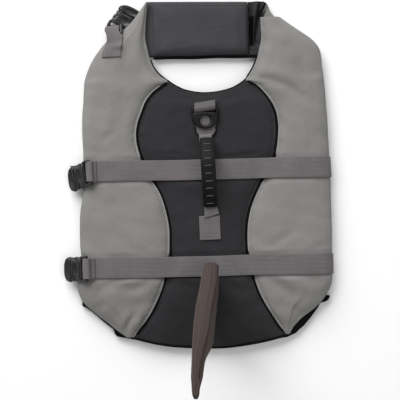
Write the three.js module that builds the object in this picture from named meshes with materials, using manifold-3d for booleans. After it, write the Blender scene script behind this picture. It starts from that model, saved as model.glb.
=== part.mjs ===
// Dog life jacket, size M, lying flat on its belly side with its three buckles closed.
// Millimetres. +X to the jacket's right edge as seen from above, +Y to the neck, +Z up.
// The origin is on the flat underside of the belly panel, on the centre line, midway between the belts.
import * as THREE from 'three';
import { mergeVertices } from 'three/addons/utils/BufferGeometryUtils.js';
import Module from 'manifold-3d';

const wasm = await Module();
wasm.setup();

// Driving sizes
const GAP = 0.3;
const BELT_Y = 59;
const BELT_WIDTH = 25;
const WEB = 1.6;
const UNDER_TOP = 9.2;
const PANEL_BOTTOM = UNDER_TOP + GAP;
const SEAM_Z = 16.5;
const EDGE_Z = 13.5;
const CROWN_Z = 23;
const GROOVE = 2.2;
const PIPING_RADIUS = 1.8;
const BINDING_RADIUS = 1.5;
const FOLD_RADIUS = 1.2;
const SEAM_HALF = PIPING_RADIUS + GAP;
const SEAM_END_HALF = 0.5;
const LIP = 24;
const HEM_DROP = 13;
const NECK_DIP = 11;
const RING_Y = 133.2;
const RING_STOCK = 4.4;
const RING_BAR = 26.4;
const HANDLE_RIBS = 9;
const GRIP_RISE = 16;
const GRIP_START = 97;
const GRIP_END = 11.5;
const GRIP_SEAT = 27.6;
const GRIP_HALF = 6.6;
const GRIP_THICK = 3.7;
const FIN_HEIGHT = 106;

// The jacket's outline: a row for each section across it, from the hem to the neck.
// outL, seamL, seamR and outR are distances from the centre line, wrap is 1 where the side
// panel turns under the edge, and hem and neck say how much of the curved end the row follows.
const ROWS = [
  { y: -141, outL: 106.5, seamL: 90.5, seamR: 89, outR: 96.5, wrap: 0, hem: 1, neck: 0 },
  { y: -136, outL: 115, seamL: 86.5, seamR: 84.5, outR: 102, wrap: 0, hem: 0.85, neck: 0 },
  { y: -126, outL: 126.5, seamL: 78.5, seamR: 78, outR: 112, wrap: 0, hem: 0.5, neck: 0 },
  { y: -112, outL: 143.5, seamL: 69.5, seamR: 69.5, outR: 129.5, wrap: 0, hem: 0.2, neck: 0 },
  { y: -98, outL: 157, seamL: 62.5, seamR: 62, outR: 142, wrap: 0, hem: 0, neck: 0 },
  { y: -84, outL: 162, seamL: 57, seamR: 56.5, outR: 149.5, wrap: 1, hem: 0, neck: 0 },
  { y: -71.5, outL: 160.5, seamL: 53, seamR: 52.5, outR: 151, wrap: 1, hem: 0, neck: 0 },
  { y: -46.5, outL: 157, seamL: 47.5, seamR: 47, outR: 151, wrap: 1, hem: 0, neck: 0 },
  { y: -31, outL: 158, seamL: 47, seamR: 46, outR: 151, wrap: 1, hem: 0, neck: 0 },
  { y: -10, outL: 158, seamL: 47.2, seamR: 46.8, outR: 151, wrap: 1, hem: 0, neck: 0 },
  { y: 10, outL: 157, seamL: 51, seamR: 51, outR: 151, wrap: 1, hem: 0, neck: 0 },
  { y: 28, outL: 154, seamL: 56.5, seamR: 58, outR: 151, wrap: 1, hem: 0, neck: 0 },
  { y: 46.5, outL: 152, seamL: 66, seamR: 67.5, outR: 151, wrap: 1, hem: 0, neck: 0 },
  { y: 71.5, outL: 152, seamL: 78.5, seamR: 81.5, outR: 150, wrap: 1, hem: 0, neck: 0 },
  { y: 86, outL: 152, seamL: 83, seamR: 84.5, outR: 149.6, wrap: 1, hem: 0, neck: 0 },
  { y: 101, outL: 152.5, seamL: 85, seamR: 86.5, outR: 149, wrap: 1, hem: 0, neck: 0 },
  { y: 116, outL: 152.5, seamL: 83.3, seamR: 86, outR: 148.4, wrap: 1, hem: 0, neck: 0 },
  { y: 131, outL: 152, seamL: 78, seamR: 83, outR: 147.5, wrap: 1, hem: 0, neck: 0 },
  { y: 145, outL: 150.5, seamL: 70, seamR: 74.5, outR: 147, wrap: 1, hem: 0, neck: 0.3 },
  { y: 155, outL: 150, seamL: 62, seamR: 65.5, outR: 146.3, wrap: 1, hem: 0, neck: 0.7 },
  { y: 163, outL: 149, seamL: 50, seamR: 53, outR: 145.6, wrap: 1, hem: 0, neck: 1 },
];

// The shoulders beyond the back panel: in is the neck edge, out the outer edge.
const SHOULDER_LEFT = [
  { y: 172, in: 57.5, out: 148 }, { y: 182, in: 64, out: 144.5 }, { y: 193, in: 68.5, out: 139 },
  { y: 205, in: 70.5, out: 131 }, { y: 218, in: 72.3, out: 120 }, { y: 231, in: 72.3, out: 101 },
  { y: 241, in: 71.5, out: 90 }, { y: 251, in: 70.5, out: 82 }, { y: 258, in: 69.7, out: 77 },
  { y: 265.6, in: 68.4, out: 71.4 },
];
const SHOULDER_RIGHT = [
  { y: 172, in: 55, out: 144.6 }, { y: 182, in: 61.3, out: 143.3 }, { y: 193, in: 66.3, out: 142.4 },
  { y: 205, in: 67.8, out: 139.6 }, { y: 216, in: 69, out: 131 }, { y: 231, in: 69, out: 110.6 },
  { y: 244, in: 68.6, out: 92.5 },
];

// Columns across a side panel, as distances from the seam, with the height of the cloth there.
const INNER_COLUMNS = [
  { off: 0, z: SEAM_Z }, { off: 4, z: 18.8 }, { off: 11, z: 21 }, { off: 22, z: 22.2 },
];
// Columns round a side panel's outer edge, as distances from it. The wrapped ones turn under to the
// floor and end in a lip, the flat ones stop in a pinched edge. under and underZ are the inner face.
const WRAP_COLUMNS = [
  { off: 24, z: 21.6, under: 34, underZ: PANEL_BOTTOM },
  { off: 16, z: 20.6, under: 30, underZ: PANEL_BOTTOM },
  { off: 8, z: 18.8, under: 28, underZ: PANEL_BOTTOM },
  { off: 1.5, z: 14.6, under: 26.6, underZ: PANEL_BOTTOM },
  { off: 0, z: 10, under: 25.4, underZ: PANEL_BOTTOM },
  { off: 1.5, z: 5, under: 24.6, underZ: PANEL_BOTTOM },
  { off: 7, z: 1.2, under: LIP, underZ: PANEL_BOTTOM },
  { off: 14, z: 0, under: LIP, underZ: 6.5 },
  { off: 22, z: 0, under: LIP, underZ: 3 },
];
const FLAT_COLUMNS = [
  { off: 24, z: 20.6, under: 24 }, { off: 16, z: 19.6, under: 16 }, { off: 8, z: 17.4, under: 12.5 },
  { off: 1.4, z: 14.6, under: 10.5 }, { off: 0, z: 12.8, under: 9 }, { off: 0.3, z: 11.6, under: 7.8 },
  { off: 1.1, z: 10.5, under: 6.8 }, { off: 2.3, z: 9.8, under: 5.8 }, { off: 3.8, z: 9.5, under: 4.8 },
];
const BACK_COLUMNS = [-1, -0.93, -0.82, -0.62, -0.35, 0, 0.35, 0.62, 0.82, 0.93, 1];
const BELLY_COLUMNS = [-1, -0.75, -0.4, 0, 0.4, 0.75, 1];

const colours = {
  grey: [0x8b8a88, 0.85], dark: [0x37373a, 0.8], black: [0x18181a, 0.75], webbing: [0x6c696a, 0.8],
  plastic: [0x1c1c1e, 0.45], pad: [0x4b4b4e, 0.8], fin: [0x4d4441, 0.85],
};

function material(name) {
  const [color, roughness] = colours[name];
  return new THREE.MeshStandardMaterial({ color, roughness, metalness: 0 });
}

function geometryFrom(positions, index) {
  const geometry = new THREE.BufferGeometry();
  geometry.setAttribute('position', new THREE.Float32BufferAttribute(positions, 3));
  geometry.setIndex(index);
  return geometry;
}

// A closed wall between two grids of points, outer and inner, joined round their edges.
// Outer faces the side from which its rows run away and its columns run to the right.
function wall(outer, inner, flip = false) {
  const rows = outer.length;
  const cols = outer[0].length;
  const positions = [...outer, ...inner].flat().flatMap((p) => [p.x, p.y, p.z]);
  const index = [];
  const at = (layer, r, c) => layer * rows * cols + r * cols + c;
  const quad = (a, b, c, d) => index.push(...(flip ? [a, c, b, a, d, c] : [a, b, c, a, c, d]));
  for (let r = 0; r + 1 < rows; r += 1) {
    for (let c = 0; c + 1 < cols; c += 1) {
      quad(at(0, r, c), at(0, r, c + 1), at(0, r + 1, c + 1), at(0, r + 1, c));
      quad(at(1, r, c + 1), at(1, r, c), at(1, r + 1, c), at(1, r + 1, c + 1));
    }
    quad(at(1, r, 0), at(0, r, 0), at(0, r + 1, 0), at(1, r + 1, 0));
    quad(at(0, r, cols - 1), at(1, r, cols - 1), at(1, r + 1, cols - 1), at(0, r + 1, cols - 1));
  }
  for (let c = 0; c + 1 < cols; c += 1) {
    quad(at(1, 0, c), at(1, 0, c + 1), at(0, 0, c + 1), at(0, 0, c));
    quad(at(0, rows - 1, c), at(0, rows - 1, c + 1), at(1, rows - 1, c + 1), at(1, rows - 1, c));
  }
  return geometryFrom(positions, index);
}

// A closed tube through rings of points, each ring turning left about the way the rings run.
function tube(rings) {
  const sides = rings[0].length;
  const middle = (ring) => ring.reduce((sum, p) => sum.add(p), new THREE.Vector3()).divideScalar(sides);
  const points = [...rings.flat(), middle(rings[0]), middle(rings[rings.length - 1])];
  const index = [];
  const last = (rings.length - 1) * sides;
  for (let s = 0; s < sides; s += 1) {
    const next = (s + 1) % sides;
    for (let r = 0; r + 1 < rings.length; r += 1) {
      const [a, b] = [r * sides + s, r * sides + next];
      index.push(a, b, b + sides, a, b + sides, a + sides);
    }
    index.push(points.length - 2, next, s);
    index.push(points.length - 1, last + s, last + next);
  }
  return geometryFrom(points.flatMap((p) => [p.x, p.y, p.z]), index);
}

// A round cord of a given radius along points that stay near one level.
function cordAlong(path, radius, sides = 6) {
  const up = new THREE.Vector3(0, 0, 1);
  return tube(path.map((point, i) => {
    const ahead = path[Math.min(i + 1, path.length - 1)].clone().sub(path[Math.max(i - 1, 0)]).normalize();
    const across = new THREE.Vector3().crossVectors(up, ahead).normalize();
    const rise = new THREE.Vector3().crossVectors(ahead, across);
    return Array.from({ length: sides }, (_, s) => {
      const turn = (2 * Math.PI * (s + 0.5)) / sides;
      const out = across.clone().multiplyScalar(radius * Math.cos(turn));
      return point.clone().add(out).addScaledVector(rise, radius * Math.sin(turn));
    });
  }));
}

// Points moved off a chain in the XZ plane, to the left of the way it runs, by one distance each.
function offsetChain(chain, distances) {
  const normal = (a, b) => {
    const length = Math.hypot(b.x - a.x, b.z - a.z);
    return { x: -(b.z - a.z) / length, z: (b.x - a.x) / length };
  };
  return chain.map((p, i) => {
    const before = normal(chain[Math.max(i - 1, 0)], chain[Math.max(i, 1)]);
    const after = normal(chain[Math.min(i, chain.length - 2)], chain[Math.min(i + 1, chain.length - 1)]);
    const mitre = distances[i] / (1 + before.x * after.x + before.z * after.z);
    return new THREE.Vector3(p.x + (before.x + after.x) * mitre, p.y, p.z + (before.z + after.z) * mitre);
  });
}

const mix = (a, b, t) => a + (b - a) * t;
const grooveAt = (y) => (Math.abs(Math.abs(y) - BELT_Y) <= BELT_WIDTH / 2 ? GROOVE : 0);

// Side panels

// One row of a side panel: its outer face from the seam over the top and round the edge, and its
// inner face point for point.
function sideRow({ y, inside, out, wrap, free }, sign) {
  const width = out - inside;
  const shrink = Math.min(1, width / 60);
  const body = mix(0.5, 1, shrink);
  const height = (z) => PANEL_BOTTOM + (z - PANEL_BOTTOM) * body;
  const point = (x, z) => new THREE.Vector3(sign * x, y, z);
  const outer = [];
  const inner = [];
  for (const column of INNER_COLUMNS) {
    const x = inside + column.off * shrink;
    const z = free ? Math.min(column.z, EDGE_Z + column.off * 0.8) : column.z;
    outer.push(point(x, height(z)));
    inner.push(point(x, PANEL_BOTTOM));
  }
  const first = inside + INNER_COLUMNS[3].off * shrink;
  const last = out - FLAT_COLUMNS[0].off * shrink;
  for (const share of [0.33, 0.67]) {
    const x = mix(first, last, share);
    outer.push(point(x, height(22.4)));
    inner.push(point(wrap ? mix(first, out - WRAP_COLUMNS[0].under, share) : x, PANEL_BOTTOM));
  }
  const groove = grooveAt(y);
  WRAP_COLUMNS.forEach((wrapped, i) => {
    const flat = FLAT_COLUMNS[i];
    if (wrap) {
      outer.push(point(out - wrapped.off, Math.max(wrapped.z, groove)));
      inner.push(point(out - wrapped.under, wrapped.underZ + (wrapped.underZ < 6 ? groove : 0)));
    } else {
      outer.push(point(out - flat.off * shrink, height(flat.z)));
      inner.push(point(out - flat.under * shrink, PANEL_BOTTOM));
    }
  });
  return { outer, inner };
}

// Half the gap at a seam, measured along X, so that a slanted seam keeps room for its piping.
function seamGap(key, i) {
  if (i === 0 || i === ROWS.length - 1) return SEAM_END_HALF;
  const slope = (a, b) => Math.abs((ROWS[b][key] - ROWS[a][key]) / (ROWS[b].y - ROWS[a].y));
  return SEAM_HALF * Math.hypot(1, Math.max(slope(i - 1, i), slope(i, i + 1)));
}

function sideRows(sign) {
  const [outKey, seamKey] = sign < 0 ? ['outL', 'seamL'] : ['outR', 'seamR'];
  const body = ROWS.map((row, i) => ({
    y: row.y, inside: row[seamKey] + seamGap(seamKey, i), out: row[outKey], wrap: row.wrap, free: false,
  }));
  const shoulder = (sign < 0 ? SHOULDER_LEFT : SHOULDER_RIGHT).map((row) => ({
    y: row.y, inside: row.in, out: row.out, wrap: 0, free: true,
  }));
  return [...body, ...shoulder].map((row) => sideRow(row, sign));
}

const sides = { left: sideRows(-1), right: sideRows(1) };

function sidePanel(rows, flip) {
  return wall(rows.map((row) => row.outer), rows.map((row) => row.inner), flip);
}

// Back panel

function backTop(row, i, s) {
  const x = mix(-row.seamL + seamGap('seamL', i), row.seamR - seamGap('seamR', i), (s + 1) / 2);
  const y = row.y - HEM_DROP * row.hem * (1 - Math.abs(s) ** 3) - NECK_DIP * row.neck * (1 - s * s);
  const pinch = 1 - 0.62 * Math.max(row.hem, row.neck) ** 3;
  const crown = (1 - Math.abs(s) ** 3) ** 0.8;
  const edge = mix(EDGE_Z, SEAM_Z, pinch);
  return new THREE.Vector3(x, y, edge + (CROWN_Z - SEAM_Z) * crown * pinch);
}

const backRows = ROWS.map((row, i) => BACK_COLUMNS.map((s) => backTop(row, i, s)));

function backPanel() {
  const under = backRows.map((row) => row.map((p) => new THREE.Vector3(p.x, p.y, PANEL_BOTTOM)));
  return wall(backRows, under);
}

// Height of a panel's top at a place, from the rows and columns of points that make it.
function heightOn(rows, x, y) {
  const alongRow = (row) => {
    const within = (p, i) => i + 1 < row.length && (x - p.x) * (x - row[i + 1].x) <= 0;
    const found = row.findIndex(within);
    const c = found < 0 ? row.length - 2 : found;
    const t = Math.min(1, (x - row[c].x) / (row[c + 1].x - row[c].x));
    return { y: mix(row[c].y, row[c + 1].y, t), z: mix(row[c].z, row[c + 1].z, t) };
  };
  const line = rows.map(alongRow);
  const r = Math.max(0, line.findIndex((p, i) => i + 1 < line.length && y <= line[i + 1].y));
  return mix(line[r].z, line[r + 1].z, (y - line[r].y) / (line[r + 1].y - line[r].y));
}

const backHeight = (x, y) => heightOn(backRows, x, y);
const leftTop = sides.left.map((row) => row.outer.slice(0, 10));

// Under layers, which lie on the floor

// A flat pad between two distances on each row, with a groove where a strap runs beneath.
function underLayer(rows, columns) {
  const grid = (z) => rows.map((row) => columns.map((s) => (
    new THREE.Vector3(mix(row.from, row.to, (s + 1) / 2), row.y, z(row.y))
  )));
  return wall(grid(() => UNDER_TOP), grid(grooveAt));
}

// The belly panel's hem shows past the side panels at both lower corners.
const BELLY_HEM = [
  { y: -153, from: -62, to: 66 }, { y: -149, from: -90, to: 94 }, { y: -144, from: -115, to: 105 },
  { y: -135, from: -119.5, to: 115 }, { y: -126, from: -130, to: 124 }, { y: -113, from: -144.5, to: 134 },
  { y: -106, from: -155.5, to: 144 },
];

function bellyRows() {
  const body = ROWS.filter((row) => row.y >= -98 && row.y < 90).map((row) => ({
    y: row.y, from: -(row.outL - LIP - 2 * GAP), to: row.outR - LIP - 2 * GAP,
  }));
  return [...BELLY_HEM, ...body];
}

const FLAP_LEFT = [
  { y: 116, from: -127, to: -84 }, { y: 131, from: -127, to: -78 }, { y: 163, from: -124, to: -72 },
  { y: 184, from: -128, to: -84 }, { y: 200, from: -124, to: -90 }, { y: 212, from: -114, to: -96 },
];
const FLAP_RIGHT = [
  { y: 116, from: 84, to: 123.5 }, { y: 131, from: 80, to: 122.5 }, { y: 163, from: 76, to: 120.5 },
  { y: 184, from: 86, to: 128 }, { y: 205, from: 86, to: 129 }, { y: 226, from: 86, to: 111 },
  { y: 238, from: 82, to: 97 }, { y: 243, from: 72.5, to: 88 }, { y: 252, from: 75, to: 81 },
  { y: 261.5, from: 76.4, to: 78 },
];

// Chin pad: a padded bar across the neck opening, its ends tucked under the shoulders. Its left end
// stops at left, then z is the height of each column and share what is left of it on each row.
const CHIN_END_Z = 7;
const CHIN_COLUMNS = [
  { x: -65.5, z: 8.9 }, { x: -61.5, z: 12 }, { x: -52, z: 16 }, { x: -22, z: 18 }, { x: 18, z: 18 },
  { x: 43, z: 16.5 }, { x: 54, z: 12 },
];
const CHIN_ROWS = [
  { y: 199, left: -84, share: 0.55, groove: 0 }, { y: 203, left: -84, share: 0.8, groove: 0 },
  { y: 214, left: -82, share: 0.97, groove: 0 }, { y: 229, left: -76, share: 1, groove: GROOVE },
  { y: 256, left: -71, share: 0.94, groove: GROOVE }, { y: 262.5, left: -71, share: 0.74, groove: 0 },
  { y: 265.6, left: -70.5, share: 0.5, groove: 0 },
];

function chinPad() {
  const top = CHIN_ROWS.map((row) => {
    const columns = [{ x: row.left, z: CHIN_END_Z }, ...CHIN_COLUMNS];
    return columns.map(({ x, z }) => new THREE.Vector3(x, row.y, Math.max(z * row.share, row.groove + 2)));
  });
  const under = top.map((points, r) => points.map((p) => new THREE.Vector3(p.x, p.y, CHIN_ROWS[r].groove)));
  return wall(top, under);
}

// Dark wing between the chin pad and the right shoulder, crushed into two deep folds.
const WING_ROWS = [
  { y: 199, from: 54.4, to: 84, z: [9, 8.5, 8.4, 8.2, 8, 8] },
  { y: 206, from: 54.4, to: 84, z: [12.5, 10, 9.2, 9, 8.8, 8.8] },
  { y: 216, from: 54.4, to: 84, z: [13, 7, 9.2, 9, 8.8, 8.8] },
  { y: 230, from: 54.4, to: 80, z: [12, 6, 11.5, 9, 8.8, 8.8] },
  { y: 240, from: 54.4, to: 72, z: [11, 6.5, 12.5, 6.8, 8.8, 8.8] },
  { y: 251, from: 54.4, to: 70.4, z: [10, 7.5, 12, 7, 11, 9] },
  { y: 264.5, from: 54.6, to: 74.6, z: [7, 6.5, 9, 7, 8.5, 7] },
];
const WING_COLUMNS = [0, 0.17, 0.34, 0.5, 0.66, 1];

function chinWing() {
  const top = WING_ROWS.map((row) => row.z.map((z, i) => (
    new THREE.Vector3(mix(row.from, row.to, WING_COLUMNS[i]), row.y, z)
  )));
  return wall(top, top.map((row) => row.map((p) => new THREE.Vector3(p.x, p.y, 0))));
}

// Piping in the two hourglass seams, and the binding tapes of the neck, the hem and the fold

function seamPiping(sign, key) {
  const path = ROWS.slice(1, -1).map((row) => new THREE.Vector3(sign * row[key], row.y, SEAM_Z + 0.5));
  path[path.length - 1].lerp(path[path.length - 2], 0.2);
  return cordAlong(path, PIPING_RADIUS);
}

// Points of a cloth edge moved out in its own plane, to the right of the way they run.
function edgeTape(points, z) {
  const reach = BINDING_RADIUS + GAP;
  const path = points.map((p, i) => {
    const a = points[Math.max(i - 1, 0)];
    const b = points[Math.min(i + 1, points.length - 1)];
    const length = Math.hypot(b.x - a.x, b.y - a.y);
    return new THREE.Vector3(p.x + ((b.y - a.y) / length) * reach, p.y - ((b.x - a.x) / length) * reach, z);
  });
  return cordAlong(path, BINDING_RADIUS);
}

function neckBinding() {
  const shoulderEdge = (rows, count) => (
    rows.slice(ROWS.length, ROWS.length + count).map((row) => row.outer[0])
  );
  const backEdge = backRows[backRows.length - 1];
  const path = [
    ...shoulderEdge(sides.right, 6).reverse(),
    ...[...backEdge].reverse(),
    ...shoulderEdge(sides.left, 6),
  ];
  return edgeTape(path, PANEL_BOTTOM + BINDING_RADIUS + 0.5);
}

function foldBinding() {
  const path = [[66.6, 245.4, 11.1], [69.1, 250.3, 11.5], [73.7, 258.3, 10.7], [75.6, 262.8, 10]];
  return cordAlong(path.map(([x, y, z]) => new THREE.Vector3(x, y, z)), FOLD_RADIUS);
}

// Buckles: side-release, in their own frame. +X runs from the socket's strap bar to the plug's.
const BUCKLE = {
  width: 32, thick: 8, bar: 5, slot: 3.6, socket: 25, plugStart: 25.4, plugSlot: 29.5, length: 36,
};

function toSolid(geometry) {
  const plain = geometry.clone();
  plain.deleteAttribute('normal');
  plain.deleteAttribute('uv');
  const merged = mergeVertices(plain, 1e-4);
  return new wasm.Manifold(new wasm.Mesh({
    numProp: 3,
    vertProperties: new Float32Array(merged.attributes.position.array),
    triVerts: new Uint32Array(merged.index.array),
  }));
}

function toGeometry(solid) {
  const mesh = solid.getMesh();
  return geometryFrom(Array.from(mesh.vertProperties), Array.from(mesh.triVerts));
}

function boxSolid(x0, x1, halfY, halfZ) {
  return toSolid(new THREE.BoxGeometry(x1 - x0, 2 * halfY, 2 * halfZ).translate((x0 + x1) / 2, 0, 0));
}

// A plate from an outline in the XY plane, rounded over at both faces and centred on z = 0.
function plate(outline, thick, bevel, holes = []) {
  const shape = new THREE.Shape(outline.map(([x, y]) => new THREE.Vector2(x, y)));
  shape.holes = holes.map((hole) => new THREE.Path(hole.map(([x, y]) => new THREE.Vector2(x, y))));
  const geometry = new THREE.ExtrudeGeometry(shape, {
    depth: thick - 2 * bevel, bevelThickness: bevel, bevelSize: bevel, bevelOffset: -bevel, bevelSegments: 1,
  });
  return geometry.translate(0, 0, bevel - thick / 2);
}

const mirrored = (half) => [...half, ...half.map(([x, y]) => [x, -y]).reverse()];

function buckleSocket() {
  const half = BUCKLE.width / 2;
  const outline = mirrored([
    [0, -half + 3], [2, -half + 1], [9, -half + 0.6], [13, -half + 2.6], [19, -half + 2], [23, -half],
    [BUCKLE.socket, -half + 2],
  ]);
  let body = toSolid(plate(outline, BUCKLE.thick, 1.2));
  body = body.subtract(boxSolid(BUCKLE.bar, BUCKLE.bar + BUCKLE.slot, half - 3, BUCKLE.thick));
  for (const side of [-1, 1]) {
    const relief = new THREE.BoxGeometry(8, BUCKLE.width - 6, 3).translate(1, 0, side * 3.1);
    const window = new THREE.BoxGeometry(7.5, 8, 5).translate(16, side * (half - 1), 0);
    body = body.subtract(toSolid(relief)).subtract(toSolid(window));
  }
  body = body.subtract(boxSolid(11, 30, half - 5, 2.2));
  return toGeometry(body);
}

// One sprung prong of the plug, from its root to its catch, in the window of the socket.
const PRONG = [[27, 6.5], [27, 10], [20, 10.2], [18.4, 14.2], [14.2, 13.4], [13, 9], [14, 7.4], [20, 7.2]];
const PRONG_THICK = 3.4;

function bucklePlug() {
  const half = BUCKLE.width / 2 - 1.2;
  const outline = mirrored([
    [BUCKLE.plugStart, -half + 1], [27.5, -half], [33, -half + 0.4], [BUCKLE.length, -half + 3],
  ]);
  let body = toSolid(plate(outline, BUCKLE.thick, 1.2));
  body = body.subtract(boxSolid(BUCKLE.plugSlot, BUCKLE.plugSlot + BUCKLE.slot, half - 2, BUCKLE.thick));
  for (const side of [-1, 1]) {
    const relief = new THREE.BoxGeometry(6, 2 * half - 4, 3).translate(BUCKLE.length - 1, 0, side * 3.1);
    const arm = plate(PRONG.map(([x, y]) => [x, side * y]), PRONG_THICK, 0.5);
    body = body.subtract(toSolid(relief)).add(toSolid(arm));
  }
  const tongue = new THREE.BoxGeometry(12, 4, 3.2).translate(21, 0, 0);
  return toGeometry(body.add(toSolid(tongue)));
}

// Where each buckle sits: the middle of its socket's bar, its turn about +Z and its slope downwards.
const BUCKLE_PLACES = {
  chest: { x: -141.5, y: BELT_Y - 1, z: 28.4, turn: Math.PI + 0.12, slope: 0.66, scale: 1 },
  belly: { x: -148, y: -BELT_Y, z: 29.2, turn: Math.PI + 0.02, slope: 0.66, scale: 1 },
  neck: { x: -112.5, y: 232.5, z: 5.5, turn: 1.08, slope: 0, scale: 0.9 },
};

function buckleMatrix({ x, y, z, turn, slope, scale }) {
  const turned = new THREE.Quaternion().setFromEuler(new THREE.Euler(0, slope, turn, 'ZYX'));
  const size = new THREE.Vector3(scale, scale, scale);
  return new THREE.Matrix4().compose(new THREE.Vector3(x, y, z), turned, size);
}

// A strap's points in a buckle's frame: [along, height] of its inner face, at one side of the strap.
function inBuckle(place, points, side, halfWidth = BELT_WIDTH / 2 - 0.2) {
  const matrix = buckleMatrix(place);
  return points.map(([along, height]) => (
    new THREE.Vector3(along, side * halfWidth, height).applyMatrix4(matrix)
  ));
}

// Belts: each runs from its socket over the back, round the right edge and back under to its plug.
const SOCKET_STRAP = [[5.4, -2.4], [5.4, 1.2], [4.8, 2], [0.2, 2], [-1.6, 1.4]];
const SOCKET_THICK = [WEB, WEB, 2 * WEB, 2 * WEB, 2 * WEB];
const PLUG_STRAP = [[30, -5.4], [30, 1.6]];

function beltEdge(rowIndex, place, side) {
  const left = sides.left[rowIndex];
  const right = sides.right[rowIndex];
  const back = backRows[rowIndex];
  const top = [
    ...left.outer.slice(2, 7).reverse(), ...back.slice(2, 9), ...right.outer.slice(2),
  ];
  const y = ROWS[rowIndex].y;
  const underLeft = -(ROWS[rowIndex].outL - 14);
  const under = [100, 0, underLeft].map((x) => new THREE.Vector3(x, y, GROOVE));
  const onCloth = offsetChain([...top, ...under], new Array(top.length + under.length).fill(GAP));
  const free = [new THREE.Vector3(underLeft - 12, y, GROOVE - GAP)];
  const start = inBuckle(place, SOCKET_STRAP, side);
  const chain = [...start, ...onCloth, ...free, ...inBuckle(place, PLUG_STRAP, side)];
  const thick = chain.map((_, i) => (i < start.length ? SOCKET_THICK[i] : WEB));
  return { inner: chain, outer: offsetChain(chain, thick) };
}

function belt(rowLow, place) {
  const low = beltEdge(rowLow, place, 1);
  const high = beltEdge(rowLow + 1, place, -1);
  return wall([low.outer, high.outer], [low.inner, high.inner]);
}

const rowAt = (y) => ROWS.findIndex((row) => row.y === y);

// Neck tab: webbing sewn to the left shoulder, over its edge and into the neck buckle's slot.
// Rows with no z lie on the shoulder, the rest give the height of their left and right ends.
const NECK_TAB = [
  { y: 198, left: -127, right: -103.5 }, { y: 205, left: -126.4, right: -103 },
  { y: 212, left: -125, right: -103 }, { y: 219, left: -124, right: -102.6, z: [18.4, 20.8] },
  { y: 226, left: -123.6, right: -102.6, z: [17.2, 19.4] },
  { y: 231, left: -123, right: -102.6, z: [14.6, 16.4] },
];

function neckTab() {
  const shares = [0, 0.33, 0.67, 1];
  const under = NECK_TAB.map((row) => shares.map((share) => {
    const x = mix(row.left, row.right, share);
    const z = row.z ? mix(row.z[0], row.z[1], share) : heightOn(leftTop, x, row.y) + 2 * GAP;
    return new THREE.Vector3(x, row.y, z);
  }));
  const slot = [[5.6, 5.4], [6.4, 2.4], [6.4, -1.5]];
  const ends = [1, -1].map((side) => inBuckle(BUCKLE_PLACES.neck, slot, side));
  slot.forEach((_, i) => under.push(shares.map((share) => ends[0][i].clone().lerp(ends[1][i], share))));
  const turned = [0, 0, 0, 0.1, 0.3, 0.6, 0.8, 1, 1];
  const over = under.map((points, i) => points.map((p) => {
    const turn = (turned[i] * Math.PI) / 2;
    const out = new THREE.Vector3(0.45 * Math.sin(turn), 0.85 * Math.sin(turn), Math.cos(turn));
    return p.clone().addScaledVector(out, WEB);
  }));
  return wall(over, under);
}

// Neck strap: from the neck buckle's plug, under the chin pad, to the dark wing.
function neckStrap() {
  const stations = [
    { x: -94, low: 246, high: 258 }, { x: -82, low: 240, high: 256 },
    { x: -68, low: 231, high: 255 }, { x: -30, low: 230.5, high: 254.5 },
    { x: 20, low: 230.5, high: 254.5 }, { x: 53, low: 230.5, high: 254.5 },
  ];
  const side = (key, z) => stations.map((s) => new THREE.Vector3(s.x, s[key], z));
  const [bottom, top] = [0.2, 1.6];
  return wall([side('low', top), side('high', top)], [side('low', bottom), side('high', bottom)]);
}

// Ring tab: webbing doubled round the ring's bar and sewn to the back panel.
const RING_TAB_BASE = backHeight(0, 138) + GAP;
const RING_LOOP = 4;
const RING_X = -1.6;
const RING_Z = RING_TAB_BASE + RING_LOOP;

function ringTab() {
  const outline = new THREE.Shape();
  outline.moveTo(9.4, 0);
  outline.lineTo(9.4, 3);
  outline.lineTo(6.4, 3.6);
  outline.lineTo(2.6, 7.1);
  outline.absarc(0, RING_LOOP, RING_LOOP, 0.9, Math.PI * 1.5, false);
  outline.closePath();
  const hole = new THREE.Path();
  hole.absarc(0, RING_LOOP, RING_STOCK / 2 + GAP, 0, 2 * Math.PI, true);
  outline.holes = [hole];
  const width = RING_BAR - 1;
  const options = { depth: width, bevelEnabled: false, curveSegments: 8 };
  const geometry = new THREE.ExtrudeGeometry(outline, options);
  geometry.rotateX(Math.PI / 2).rotateZ(Math.PI / 2);
  return geometry.translate(RING_X - width / 2, RING_Y, RING_TAB_BASE);
}

// Ring: a moulded D with a slot for its webbing and a round eye for the lead.
function dRing() {
  const arc = Array.from({ length: 9 }, (_, i) => {
    const turn = (i / 8) * Math.PI;
    return [16.2 * Math.cos(turn), -11 - 14 * Math.sin(turn)];
  });
  const outline = [
    [-13, 2.2], [13, 2.2], [15.6, 1], [16.4, -2], ...arc, [-16.4, -2], [-15.6, 1],
  ];
  const eye = Array.from({ length: 14 }, (_, i) => {
    const turn = (i / 14) * 2 * Math.PI;
    return [6.5 * Math.cos(turn), -14.8 + 6.4 * Math.sin(turn)];
  });
  const body = toSolid(plate(outline, RING_STOCK, 1.3, [eye]));
  const slot = new THREE.BoxGeometry(RING_BAR, 6.9, 10).translate(0, -1.15, 0);
  const bar = new THREE.CylinderGeometry(RING_STOCK / 2, RING_STOCK / 2, RING_BAR + 1, 10);
  return toGeometry(body.subtract(toSolid(slot)).add(toSolid(bar.rotateZ(Math.PI / 2))));
}

// Handle: webbing from the ring, a ribbed grip that arches off the back, and a sewn patch.
const FRONT_WEB = [
  { y: 95.6, half: 6.8 }, { y: 99, half: 8.5 }, { y: 104, half: 11.2 }, { y: 110, half: 12.2 },
  { y: 127.6, half: 12.2 },
];
const PATCH_WEB = [
  { y: -27, half: 12.8 }, { y: 4, half: 12.8 }, { y: 8, half: 10.4 }, { y: 13, half: 7.6 },
];

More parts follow.
